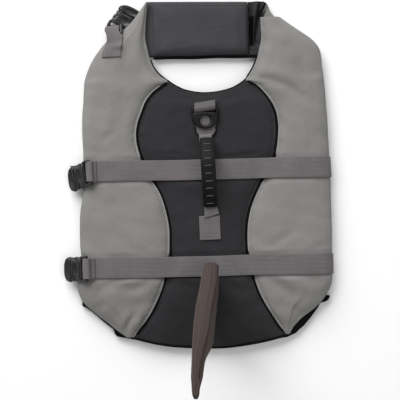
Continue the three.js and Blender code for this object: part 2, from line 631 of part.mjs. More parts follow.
function sewnWeb(rows, centre) {
  const level = (extra) => rows.map((row) => [-1, 0, 1].map((s) => {
    const x = centre + s * row.half;
    return new THREE.Vector3(x, row.y, backHeight(x, row.y) + extra);
  }));
  return wall(level(GAP + WEB), level(GAP));
}

function handleGrip() {
  const steps = HANDLE_RIBS * 4 + 4;
  const rings = [];
  for (let i = 0; i <= steps; i += 1) {
    const t = i / steps;
    const rib = (i % 4 === 2 || i % 4 === 3) && i > 1 && i < steps - 1 ? 0.9 : 0;
    const tip = Math.min(1, 0.62 + 6 * Math.min(t, 1 - t));
    const x = mix(0, 2.4, t);
    const z = GRIP_SEAT + GRIP_RISE * Math.sin(Math.PI * t) ** 0.9;
    const slope = Math.atan2(GRIP_RISE * Math.PI * Math.cos(Math.PI * t), GRIP_END - GRIP_START);
    const y = mix(GRIP_START, GRIP_END, t);
    rings.push(Array.from({ length: 10 }, (_, s) => {
      const turn = (2 * Math.PI * (s + 0.5)) / 10;
      const across = (GRIP_HALF + rib) * Math.cos(turn) * tip;
      const rise = (GRIP_THICK + rib) * Math.sin(turn) * tip;
      return new THREE.Vector3(x - across, y - rise * Math.sin(slope), z + rise * Math.cos(slope));
    }));
  }
  return tube(rings);
}

// Fin: a foam blade between two cloth sides and a front gusset, in level slices.
// front and rear are where each slice starts and ends along Y, half its half thickness.
const FIN_SLICES = [
  { h: 0, front: -75, rear: -136, half: 10, x: 1.2 }, { h: 4, front: -75, rear: -142, half: 9.2, x: 1.2 },
  { h: 9, front: -66, rear: -144, half: 9, x: 1.5 }, { h: 16, front: -58, rear: -146, half: 9.2, x: 1.8 },
  { h: 26, front: -54, rear: -147, half: 9.4, x: 1.6 }, { h: 38, front: -58, rear: -149, half: 9.3, x: 0.6 },
  { h: 50, front: -68, rear: -152, half: 9, x: -1.4 }, { h: 62, front: -83, rear: -156, half: 8.6, x: -4.6 },
  { h: 74, front: -103, rear: -163, half: 8, x: -9 },
  { h: 85, front: -127, rear: -174, half: 7.4, x: -13.2 },
  { h: 94, front: -152, rear: -187, half: 6.6, x: -16 },
  { h: 101, front: -174, rear: -197, half: 5.6, x: -17.6 },
  { h: FIN_HEIGHT, front: -192, rear: -204.5, half: 4.2, x: -18.6 },
];
// Round each slice: along is the share of the way back, wide the share of the half thickness.
const FIN_ROUND = [
  { along: 0, wide: 0.5 }, { along: 0.02, wide: 0.86 }, { along: 0.12, wide: 0.94 },
  { along: 0.35, wide: 1 },
  { along: 0.65, wide: 0.86 }, { along: 0.88, wide: 0.5 }, { along: 1, wide: 0.12 },
];

function finSlice({ h, front, rear, half, x }) {
  const point = (side) => ({ along, wide }) => (
    new THREE.Vector3(x + side * wide * half, mix(front, rear, along), CROWN_Z + GAP + h)
  );
  return [...FIN_ROUND.map(point(-1)), ...[...FIN_ROUND].reverse().map(point(1))];
}

function fin() {
  return tube(FIN_SLICES.map(finSlice));
}

// Assembly
const jacket = new THREE.Group();

function add(name, geometry, look, place = null) {
  const mesh = new THREE.Mesh(geometry, material(look));
  mesh.name = name;
  if (place) buckleMatrix(place).decompose(mesh.position, mesh.quaternion, mesh.scale);
  jacket.add(mesh);
  return mesh;
}

add('back_panel', backPanel(), 'dark');
add('side_left', sidePanel(sides.left, true), 'grey');
add('side_right', sidePanel(sides.right, false), 'grey');
add('belly_panel', underLayer(bellyRows(), BELLY_COLUMNS), 'black');
add('chest_flap_left', underLayer(FLAP_LEFT, [-1, 0, 1]), 'grey');
add('chest_flap_right', underLayer(FLAP_RIGHT, [-1, 0, 1]), 'grey');
add('chin_pad', chinPad(), 'pad');
add('chin_wing', chinWing(), 'dark');
add('piping_left', seamPiping(-1, 'seamL'), 'black');
add('piping_right', seamPiping(1, 'seamR'), 'black');
add('neck_binding', neckBinding(), 'black');
add('hem_binding', edgeTape(backRows[0], PANEL_BOTTOM + BINDING_RADIUS + 0.5), 'black');
add('fold_binding', foldBinding(), 'black');
add('chest_belt', belt(rowAt(46.5), BUCKLE_PLACES.chest), 'webbing');
add('belly_belt', belt(rowAt(-71.5), BUCKLE_PLACES.belly), 'webbing');
for (const [name, place] of Object.entries(BUCKLE_PLACES)) {
  add(`${name}_buckle_socket`, buckleSocket(), 'plastic', place);
  add(`${name}_buckle_plug`, bucklePlug(), 'plastic', place);
}
add('neck_tab', neckTab(), 'webbing');
add('neck_strap', neckStrap(), 'webbing');
add('ring_tab', ringTab(), 'webbing');
add('d_ring', dRing().translate(RING_X, RING_Y, RING_Z), 'plastic');
add('handle_front', sewnWeb(FRONT_WEB, -1), 'webbing');
add('handle_grip', handleGrip(), 'plastic');
add('handle_patch', sewnWeb(PATCH_WEB, 1.6), 'webbing');
add('fin', fin(), 'fin');

export default jacket;
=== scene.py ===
"""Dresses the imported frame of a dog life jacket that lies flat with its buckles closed.

Lengths in the tables and the shape functions are millimetres in the frame of the part: +Y to the neck,
+X to the edge away from the buckles, +Z up from the floor. A mesh is turned into metres when it is made.
"""
import math

import bpy
import numpy as np
from bpy.props import FloatProperty, FloatVectorProperty, IntProperty, PointerProperty
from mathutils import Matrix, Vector


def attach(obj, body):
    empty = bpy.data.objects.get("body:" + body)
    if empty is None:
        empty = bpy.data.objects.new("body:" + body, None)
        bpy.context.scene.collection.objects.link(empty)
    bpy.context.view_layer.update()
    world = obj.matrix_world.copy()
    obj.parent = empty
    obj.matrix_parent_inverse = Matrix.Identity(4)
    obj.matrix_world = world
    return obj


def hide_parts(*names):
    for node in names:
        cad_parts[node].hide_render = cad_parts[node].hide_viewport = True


bl_info = {
    "name": "Dog Life Jacket",
    "version": (1, 0, 0),
    "blender": (4, 5, 0),
    "location": "View3D > Sidebar > Life Jacket",
    "description": "Cloth, webbing, buckles and fin of a dog life jacket on its packed frame",
    "category": "Object",
}

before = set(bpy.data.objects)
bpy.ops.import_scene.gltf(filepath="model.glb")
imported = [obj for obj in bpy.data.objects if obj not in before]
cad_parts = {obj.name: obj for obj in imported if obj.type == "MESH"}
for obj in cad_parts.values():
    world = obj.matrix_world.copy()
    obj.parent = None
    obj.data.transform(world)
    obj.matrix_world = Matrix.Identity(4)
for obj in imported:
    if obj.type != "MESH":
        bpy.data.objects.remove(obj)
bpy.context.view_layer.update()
BODY = "jacket"
MM = 0.001

# Sizes shared with the solids
GAP = 0.3
BELT_Y = 59
BELT_WIDTH = 25
WEB = 1.6
PANEL_BOTTOM = 9.5
SEAM_Z = 16.5
EDGE_Z = 13.5
CROWN_Z = 23
GROOVE = 2.2
SEAM_END_HALF = 0.5
CORD_RADIUS = 1.3
CORD_HALF = CORD_RADIUS + 0.1
LIP = 24
HEM_DROP = 13.2
NECK_DIP = 15.0
HEM_DROOP = 4.6
RING_X, RING_Y, RING_Z = -1.6, 133.2, 27.2

# A row for each section across the jacket, from the hem to the neck:
# y, left edge, left seam, right seam, right edge, turned under, follows the hem, follows the neck
ROWS = np.array([
    (-145, 103, 93.5, 92, 97, 0, 1, 0),
    (-136, 115, 86.5, 84.5, 102, 0, 0.85, 0),
    (-126, 126.5, 78.5, 78, 112, 0, 0.5, 0),
    (-112, 143.5, 69.5, 69.5, 129.5, 0, 0.2, 0),
    (-98, 157, 62.5, 62, 142, 0, 0, 0),
    (-84, 162, 57, 56.5, 149.5, 1, 0, 0),
    (-71.5, 160.5, 53, 52.5, 151, 1, 0, 0),
    (-46.5, 157, 47.5, 47, 151, 1, 0, 0),
    (-31, 158, 47, 46, 151, 1, 0, 0),
    (-10, 158, 47.2, 46.8, 151, 1, 0, 0),
    (10, 157, 51, 51, 151, 1, 0, 0),
    (28, 154, 56.5, 58, 151, 1, 0, 0),
    (46.5, 152, 66, 67.5, 151, 1, 0, 0),
    (71.5, 152, 78.5, 81.5, 150, 1, 0, 0),
    (86, 152, 83, 84.5, 149.6, 1, 0, 0),
    (101, 152.5, 85, 86.5, 149, 1, 0, 0),
    (116, 152.5, 83.3, 86, 148.4, 1, 0, 0),
    (131, 152, 78, 83, 147.5, 1, 0, 0),
    (145, 150.5, 71.5, 75.5, 147, 1, 0, 0.3),
    (155, 150, 63, 67.5, 146.3, 1, 0, 0.7),
    (161, 149.5, 54.8, 61, 145.8, 1, 0, 0.85),
    (167.5, 149, 46, 49.3, 145.3, 1, 0, 1),
])
ROW_Y, LEFT_EDGE, LEFT_SEAM, RIGHT_SEAM, RIGHT_EDGE, TURNED, HEM, NECK = ROWS.T

# The shoulders beyond the back panel: y, neck edge, outer edge
SHOULDER_LEFT = np.array([
    (174, 54.6, 147.5), (183, 62.2, 144.2), (193, 66.9, 139), (205, 69.8, 131), (218, 72.3, 120),
    (231, 72.3, 101), (241, 71.5, 90), (251, 70.5, 82), (258, 69.7, 77), (265.6, 68.4, 71.4),
])
SHOULDER_RIGHT = np.array([
    (174, 53.5, 144.4), (183, 58.8, 143.2), (193, 63.4, 142.4), (205, 66.4, 139.6), (216, 69, 131),
    (231, 69, 110.6), (244, 68.6, 92.5),
])

# Columns across a side panel: distance from the seam, height
INNER_COLUMNS = np.array([(0, SEAM_Z), (4, 18.8), (11, 21), (22, 22.2)])
# Columns round its outer edge: distance from the edge and height, outside and inside
TURNED_COLUMNS = np.array([
    (24, 21.6, 34, 9.5), (16, 20.6, 30, 9.5), (8, 18.8, 28, 9.5), (1.5, 14.6, 26.6, 9.5), (0, 10, 25.4, 9.5),
    (1.5, 5, 24.6, 9.5), (7, 1.2, 24, 9.5), (14, 0, 24, 6.5), (22, 0, 24, 3),
])
FLAT_COLUMNS = np.array([
    (24, 20.6, 24, 9.5), (16, 19.6, 16, 9.5), (8, 17.4, 12.5, 9.5), (1.4, 14.6, 10.5, 9.5), (0, 12.8, 9, 9.5),
    (0.3, 11.6, 7.8, 9.5), (1.1, 10.5, 6.8, 9.5), (2.3, 9.8, 5.8, 9.5), (3.8, 9.5, 4.8, 9.5),
])
BACK_COLUMNS = np.array([-1, -0.93, -0.82, -0.62, -0.35, 0, 0.35, 0.62, 0.82, 0.93, 1])

# Creases listed one by one: start x, y, end x, y, bow to the left, half width, depth (a ridge is negative)
SIDE_CREASES = np.array([
    (52, 170, 118, 146, 6, 5, 1.9),
    (60, 178, 122, 160, 5, 7, -0.9),
    (84, 134, 106, 96, -4, 6, 1.1),
    (90, 152, 142, 130, 4, 9, 0.9),
    (64, -70, 104, -108, 4, 7, 2.6),
    (86, -66, 126, -104, 5, 9, -1.5),
    (92, -106, 112, -128, 2, 6, 1.6),
    (72, -100, 92, -128, -3, 5, -0.9),
    (76, -37, 108, -20, 2, 5, 1),
    (60, -43, 86, -45, 1, 4, -1),
    (120, -44, 146, -36, 2, 5, 0.7),
    (-108, -74, -140, -92, -3, 6, 1.7),
    (-72, -74, -104, -88, 3, 6, 1.8),
    (-88, -72, -126, -78, 2, 4, -1),
    (-70, -96, -112, -108, 4, 12, 1.7),
    (-106, -140, -94, -118, 1, 3.6, 2),
    (-88, -134, -84, -112, 1, 4, -1),
    (-126, -98, -140, -108, 2, 6, 1),
    (-101, -26, -76, -42, -3, 6, 1.2),
    (-127, 96, -112, 106, 2, 4.5, 1),
    (-140, 54, -124, 94, -4, 9, 0.8),
    (-122, 183, -66, 178, -5, 10, 1.1),
    (-96, 158, -112, 112, 4, 11, 0.8),
    (-106, 38, -128, 6, 3, 9, 0.9),
    (-62, 60, -92, 20, 4, 9, 0.7),
    (110, 44, 130, 2, -4, 10, 0.9),
    (70, 40, 92, 10, -3, 8, 0.6),
    (98, 212, 122, 168, 4, 9, 0.9),
    (74, 232, 104, 226, 3, 6, 0.5),
    (-88, 238, -98, 196, 2, 7, 0.9),
])
BACK_CREASES = np.array([
    (-64, 77.5, -14, 75, 2, 3, 0.9),
    (14, 75.5, 68, 79, -2, 3, 0.9),
    (-40, 84, -14, 82, 2, 4, 0.5),
    (-32, 147, -12, 138, 2, 4, 1.1),
    (16, 138, 40, 148, 2, 4, 1),
    (-8, 150, 14, 149, 1.5, 2.6, 0.9),
    (-50, -76, -20, -92, 3, 7, 1.2),
    (16, -78, 48, -90, -3, 7, 1.2),
    (10, -116, 36, -134, 3, 6, 1.2),
    (-60, -118, -28, -140, 3, 8, 1.1),
    (38, -128, 56, -108, 3, 6, 0.8),
    (-42, -28, -20, -46, 3, 8, 0.8),
    (18, 24, 36, -10, 3, 10, 0.8),
    (-30, 34, -18, 4, 3, 9, 0.6),
])

def srgb(red, green, blue):
    """Linear colour of an 8-bit one."""
    values = [v / 255 for v in (red, green, blue)]
    return tuple(v / 12.92 if v <= 0.04045 else ((v + 0.055) / 1.055) ** 2.4 for v in values)


# Shapes from formulas

def smooth_values(at, knots, values):
    """Cubic through the knots; its slope at each knot comes from the neighbours on both sides."""
    knots = np.asarray(knots, float)
    values = np.asarray(values, float)
    slopes = np.gradient(values, knots, axis=0)
    i = np.clip(np.searchsorted(knots, at, side="right") - 1, 0, len(knots) - 2)
    shape = np.shape(at) + (1,) * (values.ndim - 1)
    h = (knots[i + 1] - knots[i]).reshape(shape)
    t = ((at - knots[i]) / (knots[i + 1] - knots[i])).reshape(shape)
    start = (2 * t**3 - 3 * t**2 + 1) * values[i] + (t**3 - 2 * t**2 + t) * h * slopes[i]
    end = (3 * t**2 - 2 * t**3) * values[i + 1] + (t**3 - t**2) * h * slopes[i + 1]
    return start + end


def lengths_along(grid, axis):
    """Mean distance run along one axis of a grid of points, at each of its lines."""
    step = np.linalg.norm(np.diff(grid, axis=axis), axis=2).mean(axis=1 - axis)
    return np.concatenate([[0], np.cumsum(np.maximum(step, 1e-4))])


def spaced(total, step, fine=0.0, reach=0.0):
    """Places from 0 to total, one step apart, and closer by the step fine within reach of the start."""
    near = np.arange(0, reach, fine) if reach else np.zeros(0)
    count = max(2, int(round((total - reach) / step)) + 1)
    return np.concatenate([near, np.linspace(reach, total, count)])


def refine(grid, step, fine=0.0, reach=0.0):
    """A smooth surface through a coarse grid: each row is refined, then each column."""
    u = lengths_along(grid, 1)
    rows = smooth_values(spaced(u[-1], step, fine, reach), u, grid.swapaxes(0, 1)).swapaxes(0, 1)
    v = lengths_along(rows, 0)
    return smooth_values(spaced(v[-1], step), v, rows)


def refine_line(points, step):
    """A smooth line through points, with one every step."""
    points = np.asarray(points, float)
    run = np.concatenate([[0], np.cumsum(np.linalg.norm(np.diff(points, axis=0), axis=1))])
    return smooth_values(spaced(run[-1], step), run, points)


def unit(vectors):
    """Vectors of length 1."""
    return vectors / np.maximum(np.linalg.norm(vectors, axis=-1, keepdims=True), 1e-9)


def grid_normals(grid, up):
    """Unit normals from the grid's two directions; up is 1 or -1, to make them face outwards."""
    normal = np.cross(np.gradient(grid, axis=1), np.gradient(grid, axis=0))
    return up * unit(normal)


def unevenness(x, y, wavelength, seed):
    """Sum of eight waves in different directions, of about one wavelength, between -1 and 1."""
    rng = np.random.default_rng(seed)
    total = np.zeros(np.shape(x))
    for turn, phase, scale in zip(rng.uniform(0, 6.28, 8), rng.uniform(0, 6.28, 8), rng.uniform(0.7, 1.5, 8)):
        along = x * math.cos(turn) + y * math.sin(turn)
        total += np.sin(along * 6.283 * scale / wavelength + phase)
    return total / 4


def crease_depth(x, y, creases):
    """Sum of soft troughs: a bell across a bowed line, fading to nothing at both of its ends."""
    depth = np.zeros(np.shape(x))
    for x0, y0, x1, y1, bow, half, deep in creases:
        length = math.hypot(x1 - x0, y1 - y0)
        ahead = ((x - x0) * (x1 - x0) + (y - y0) * (y1 - y0)) / length**2
        t = np.clip(ahead, 0, 1)
        side = ((y - y0) * (x1 - x0) - (x - x0) * (y1 - y0)) / length
        past = (ahead - t) * length
        off = np.hypot(side - bow * 4 * t * (1 - t), past)
        bell = np.exp(-((off / half) ** 2)) - 0.22 * np.exp(-(((off - 2 * half) / (1.2 * half)) ** 2))
        depth += deep * bell * (0.25 + 0.75 * np.sin(math.pi * np.clip(ahead, 0.02, 0.98)) ** 0.7)
    return depth


def belt_dent(y):
    """1 under a belt, falling smoothly to 0 within 7 mm of its edges."""
    off = np.minimum(np.abs(y - BELT_Y), np.abs(y + BELT_Y)) - BELT_WIDTH / 2
    return 1 - np.clip(off / 7, 0, 1) ** 2 * (3 - 2 * np.clip(off / 7, 0, 1))


def under_groove(y):
    """Height of a strap's groove in the underside."""
    return np.where(np.abs(np.abs(y) - BELT_Y) <= BELT_WIDTH / 2 + 0.01, GROOVE, 0)


# Meshes

def shell_quads(rows, cols):
    """Faces of an outer and an inner grid of equal size, with the strips that join their edges."""
    at = np.arange(rows * cols).reshape(rows, cols)
    inner = at + rows * cols

    def quads(a, b, c, d):
        return np.stack([a, b, c, d], -1).reshape(-1, 4)

    return np.concatenate([
        quads(at[:-1, :-1], at[:-1, 1:], at[1:, 1:], at[1:, :-1]),
        quads(inner[:-1, 1:], inner[:-1, :-1], inner[1:, :-1], inner[1:, 1:]),
        quads(inner[:-1, 0], at[:-1, 0], at[1:, 0], inner[1:, 0]),
        quads(at[:-1, -1], inner[:-1, -1], inner[1:, -1], at[1:, -1]),
        quads(inner[0, :-1], inner[0, 1:], at[0, 1:], at[0, :-1]),
        quads(at[-1, :-1], at[-1, 1:], inner[-1, 1:], inner[-1, :-1]),
    ])


def tube_quads(rings, sides, loop=False):
    """Faces of a tube of rings, closed on itself, or capped at both ends by a strip of quads."""
    at = np.arange(rings * sides).reshape(rings, sides)
    turned = np.roll(at, -1, axis=1)
    if loop:
        return np.stack([at, turned, np.roll(turned, -1, axis=0), np.roll(at, -1, axis=0)], -1).reshape(-1, 4)
    body = np.stack([at[:-1], turned[:-1], turned[1:], at[1:]], -1).reshape(-1, 4)
    i = np.arange(sides // 2 - 1)
    cap = np.stack([i, i + 1, sides - 2 - i, sides - 1 - i], -1)
    return np.concatenate([body, cap[:, ::-1], cap + (rings - 1) * sides])


def facing_out(points, quads):
    """The faces, turned round if the solid's volume by them is negative."""
    a, b, c, d = (points[quads[:, i]] for i in range(4))
    volume = np.einsum("ij,ij->i", a, np.cross(b, c)).sum() + np.einsum("ij,ij->i", a, np.cross(c, d)).sum()
    return quads if volume > 0 else quads[:, ::-1]


def join(parts):
    """Points and faces of several solids as one."""
    points, quads, start = [], [], 0
    for part_points, part_quads in parts:
        points.append(part_points.reshape(-1, 3))
        quads.append(facing_out(points[-1], part_quads) + start)
        start += len(points[-1])
    return np.concatenate(points), np.concatenate(quads)


def make_piece(name, solids, material, replaces=(), body=BODY, uv=None):
    """A mesh object in metres from (points, faces) solids, smooth, with its material and body, hiding the solids it
    replaces.
    """
    points, quads = join(solids)
    mesh = bpy.data.meshes.new(name)
    mesh.from_pydata((points * MM).tolist(), [], quads.tolist())
    if uv is not None:
        corner = np.zeros(len(mesh.loops), np.int32)
        mesh.loops.foreach_get("vertex_index", corner)
        layer = mesh.uv_layers.new(name="UVMap")
        layer.data.foreach_set("uv", np.asarray(uv, np.float32)[corner].ravel())
    mesh.shade_smooth()
    mesh.materials.append(material)
    obj = bpy.data.objects.new(name, mesh)
    bpy.context.scene.collection.objects.link(obj)
    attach(obj, body)
    if replaces:
        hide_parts(*replaces)
    return obj


def frame_along(path, up):
    """Unit vectors ahead, across and above at each point of a path."""
    ahead = unit(np.gradient(path, axis=0))
    across = unit(np.cross(np.broadcast_to(np.asarray(up, float), path.shape), ahead))
    return ahead, across, np.cross(ahead, across)


def round_section(sides, half_width, half_height, power=2.0):
    """Points round a superellipse: an ellipse at power 2, squarer above it."""
    turn = (np.arange(sides) + 0.5) * 2 * math.pi / sides
    x = np.sign(np.cos(turn)) * np.abs(np.cos(turn)) ** (2 / power)
    y = np.sign(np.sin(turn)) * np.abs(np.sin(turn)) ** (2 / power)
    return np.stack([half_width * x, half_height * y], -1)


def sweep(path, section, up=(0, 0, 1), scale=None, taper=0.0):
    """A section carried along a path. scale multiplies it at each point, taper rounds both ends."""
    path = np.asarray(path, float)
    _, across, above = frame_along(path, up)
    size = np.ones(len(path)) if scale is None else np.asarray(scale, float)
    if taper:
        run = np.concatenate([[0], np.cumsum(np.linalg.norm(np.diff(path, axis=0), axis=1))])
        near = np.clip(np.minimum(run, run[-1] - run) / taper, 0, 1)
        size = size * np.sqrt(np.maximum(1 - (1 - near) ** 2, 0.02))
    x = section[None, :, 0] * size[:, None]
    y = section[None, :, 1] * size[:, None]
    points = path[:, None, :] + x[..., None] * across[:, None, :] + y[..., None] * above[:, None, :]
    return points, tube_quads(len(path), len(section))


def ribbon(low, high, thickness=WEB, sides=20, taper=0.8):
    """Webbing between two edge lines, its section a flat superellipse; also returns its UVs in mm."""
    middle = (low + high) / 2
    across = (high - low) / 2
    above = unit(np.cross(np.gradient(middle, axis=0), across))
    section = round_section(sides, 1, thickness / 2, 7)
    run = np.concatenate([[0], np.cumsum(np.linalg.norm(np.diff(middle, axis=0), axis=1))])
    near = np.clip(np.minimum(run, run[-1] - run) / taper, 0.15, 1) ** 0.5
    x = section[None, :, 0, None] * across[:, None, :]
    y = (section[None, :, 1] * near[:, None])[..., None] * above[:, None, :]
    points = middle[:, None, :] + x + y
    half = np.linalg.norm(across, axis=1)[:, None] * section[None, :, 0]
    uv = np.stack([np.broadcast_to(run[:, None], half.shape), half], -1).reshape(-1, 2)
    return (points, tube_quads(len(low), sides)), uv


def stitches(line, pitch=3.4, length=2.4, radius=0.28):
    """Short threads along a line: each is a tube of five rings whose ends dip and narrow."""
    line = np.asarray(line, float)
    run = np.concatenate([[0], np.cumsum(np.linalg.norm(np.diff(line, axis=0), axis=1))])
    count = int(run[-1] // pitch)
    share = np.array([0, 0.12, 0.5, 0.88, 1])
    at = (np.arange(count)[:, None] + 0.5) * pitch + (share[None] - 0.5) * length
    centre = np.stack([np.interp(at, run, line[:, k]) for k in range(3)], -1)
    centre[..., 2] -= np.array([0.35, 0.05, 0, 0.05, 0.35]) * radius * 2
    ahead = unit(np.gradient(centre, axis=1))
    across = unit(np.cross(np.array([0, 0, 1.0]), ahead))
    above = np.cross(ahead, across)
    turn = np.arange(6) * math.pi / 3
    size = radius * np.array([0.3, 0.9, 1, 0.9, 0.3])[None, :, None, None]
    ring = np.cos(turn)[:, None] * across[:, :, None, :] + np.sin(turn)[:, None] * above[:, :, None, :]
    points = centre[:, :, None, :] + size * ring
    quads = tube_quads(5, 6)[None] + (np.arange(count) * 30)[:, None, None]
    return points, quads.reshape(-1, 4)


def pillow(outline, centre, half_height, sides=96, rings=14, power=2.6, dish=None):
    """A moulded block: half_height falls to its rim as (1 - r^power)^0.5 on rays from centre to outline.
    dish is (x, y, half length, half width, depth) of an oval hollow in its top."""
    turn = np.arange(sides) * 2 * math.pi / sides
    ray = np.stack([np.cos(turn), np.sin(turn)], -1)
    a = np.asarray(outline, float) - centre
    b = np.roll(a, -1, axis=0)
    edge = b - a
    cross = ray[:, None, 0] * edge[None, :, 1] - ray[:, None, 1] * edge[None, :, 0]
    far = (a[None, :, 0] * edge[None, :, 1] - a[None, :, 1] * edge[None, :, 0]) / np.where(cross == 0, 1e-9, cross)
    along = (a[None, :, 0] * ray[:, None, 1] - a[None, :, 1] * ray[:, None, 0]) / np.where(cross == 0, 1e-9, cross)
    reach = np.where((far > 0) & (along >= -1e-6) & (along <= 1 + 1e-6), far, np.inf).min(axis=1)
    r = np.sin(np.linspace(0.02, 1, rings) * math.pi / 2)
    height = half_height * (1 - r**power) ** 0.5
    r = np.concatenate([r, r[-2::-1]])
    z = np.concatenate([height, -height[-2::-1]])
    x = centre[0] + r[:, None] * reach * ray[:, 0]
    y = centre[1] + r[:, None] * reach * ray[:, 1]
    z = np.broadcast_to(z[:, None], x.shape).copy()
    if dish:
        oval = ((x - dish[0]) / dish[2]) ** 2 + ((y - dish[1]) / dish[3]) ** 2
        z -= dish[4] * np.clip(1.3 - oval, 0, 1) ** 0.7 * (z > 0)
    return np.stack([x, y, z], -1), tube_quads(len(r), sides)


# Materials

def new_shader(name, roughness, specular=0.3, sheen=0.0):
    """A node material with its constant values on the shader's own sockets."""
    material = bpy.data.materials.new(name)
    material.use_nodes = True
    shader = material.node_tree.nodes["Principled BSDF"]
    shader.inputs["Roughness"].default_value = roughness
    shader.inputs["Specular IOR Level"].default_value = specular
    shader.inputs["Sheen Weight"].default_value = sheen
    shader.inputs["Sheen Roughness"].default_value = 0.5
    return material, material.node_tree, shader


def add_node(tree, kind, settings=None, **inputs):
    """A node with some of its properties and input values set; a socket as a value is linked."""
    made = tree.nodes.new(kind)
    for key, value in (settings or {}).items():
        setattr(made, key, value)
    for key, value in inputs.items():
        socket = made.inputs[int(key[2:])] if key.startswith("in") else made.inputs[key]
        if isinstance(value, bpy.types.NodeSocket):
            tree.links.new(value, socket)
        else:
            socket.default_value = value
    return made


def mottled(tree, vector, colour, light, dark, patch, grain):
    """The colour, drifting between two tints over patches and, more finely, from thread to thread."""
    broad = add_node(tree, "ShaderNodeTexNoise", Vector=vector, Scale=1 / patch, Detail=3.0, Roughness=0.6)
    thread = add_node(tree, "ShaderNodeTexNoise", Vector=vector, Scale=1 / grain, Detail=2.0)
    total = add_node(tree, "ShaderNodeMath", {"operation": "MULTIPLY_ADD"},
                     in0=thread.outputs["Fac"], in1=0.55, in2=0.0)
    blend = add_node(tree, "ShaderNodeMath", {"operation": "MULTIPLY_ADD"},
                     in0=broad.outputs["Fac"], in1=0.75, in2=total.outputs[0])
    ramp = add_node(tree, "ShaderNodeValToRGB", in0=blend.outputs[0])
    ramp.color_ramp.elements[0].position = 0.42
    ramp.color_ramp.elements[0].color = (*[v * dark for v in colour], 1)
    ramp.color_ramp.elements[1].position = 0.88
    ramp.color_ramp.elements[1].color = (*[v * light for v in colour], 1)
    return ramp.outputs["Color"]


def woven_cloth(name, colour, sheen, roughness=0.85, pitch=0.0009, bump=0.25):
    """Plain-woven polyester: two crossed rows of threads as bump, over a colour that drifts a little."""
    material, tree, shader = new_shader(name, roughness, 0.1, sheen)
    place = add_node(tree, "ShaderNodeTexCoord").outputs["Object"]
    tree.links.new(mottled(tree, place, colour, 1.09, 0.91, 0.035, 0.0012), shader.inputs["Base Color"])
    scale = 2 * math.pi / (20 * pitch)
    warp = add_node(tree, "ShaderNodeTexWave", {"bands_direction": "X"}, Vector=place, Scale=scale, Distortion=0.6)
    weft = add_node(tree, "ShaderNodeTexWave", {"bands_direction": "Y"}, Vector=place, Scale=scale, Distortion=0.6)
    weave = add_node(tree, "ShaderNodeMath", {"operation": "MULTIPLY"}, in0=warp.outputs["Fac"], in1=weft.outputs["Fac"])
    slub = add_node(tree, "ShaderNodeTexNoise", Vector=place, Scale=260.0, Detail=4.0)
    relief = add_node(tree, "ShaderNodeMath", {"operation": "MULTIPLY_ADD"},
                      in0=slub.outputs["Fac"], in1=0.8, in2=weave.outputs[0])
    lift = add_node(tree, "ShaderNodeBump", Strength=bump, Distance=0.00015, Height=relief.outputs[0])
    tree.links.new(lift.outputs["Normal"], shader.inputs["Normal"])
    return material


def webbing_cloth(name, colour, sheen):
    """Webbing: ribs run its length, crossed by finer wefts, with a firmer edge; it reads the UV map in mm."""
    material, tree, shader = new_shader(name, 0.75, 0.12, sheen)
    uv = add_node(tree, "ShaderNodeTexCoord").outputs["UV"]
    place = add_node(tree, "ShaderNodeTexCoord").outputs["Object"]
    tint = mottled(tree, place, colour, 1.12, 0.88, 0.02, 0.0016)
    ribs = add_node(tree, "ShaderNodeTexWave", {"bands_direction": "Y"}, Vector=uv, Scale=0.196, Distortion=0.15)
    stripes = add_node(tree, "ShaderNodeTexWave", {"bands_direction": "Y"}, Vector=uv, Scale=0.058, Distortion=0.5)
    wefts = add_node(tree, "ShaderNodeTexWave", {"bands_direction": "X"}, Vector=uv, Scale=0.24, Distortion=0.6)
    shade = add_node(tree, "ShaderNodeMix", {"data_type": "RGBA", "blend_type": "MULTIPLY"}, Factor=0.1,
                     in6=tint, in7=ribs.outputs["Color"])
    banded = add_node(tree, "ShaderNodeMix", {"data_type": "RGBA", "blend_type": "MULTIPLY"}, Factor=0.05,
                      in6=shade.outputs[2], in7=stripes.outputs["Color"])
    tree.links.new(banded.outputs[2], shader.inputs["Base Color"])
    relief = add_node(tree, "ShaderNodeMath", {"operation": "MULTIPLY_ADD"},
                      in0=wefts.outputs["Fac"], in1=0.5, in2=ribs.outputs["Fac"])
    lift = add_node(tree, "ShaderNodeBump", Strength=0.5, Distance=0.0003, Height=relief.outputs[0])
    tree.links.new(lift.outputs["Normal"], shader.inputs["Normal"])
    return material


def moulded_plastic(name, colour, specular, roughness=0.38, grain=0.0008):
    """Black plastic with a fine spark-eroded grain and slightly uneven gloss."""
    material, tree, shader = new_shader(name, roughness, specular)
    place = add_node(tree, "ShaderNodeTexCoord").outputs["Object"]
    tree.links.new(mottled(tree, place, colour, 1.25, 0.8, 0.012, 0.002), shader.inputs["Base Color"])
    speck = add_node(tree, "ShaderNodeTexNoise", Vector=place, Scale=1 / grain, Detail=3.0)
    gloss = add_node(tree, "ShaderNodeMapRange", Value=speck.outputs["Fac"])
    gloss.inputs["To Min"].default_value = roughness - 0.08
    gloss.inputs["To Max"].default_value = roughness + 0.12
    tree.links.new(gloss.outputs["Result"], shader.inputs["Roughness"])
    lift = add_node(tree, "ShaderNodeBump", Strength=0.2, Distance=0.0001, Height=speck.outputs["Fac"])
    tree.links.new(lift.outputs["Normal"], shader.inputs["Normal"])
    return material


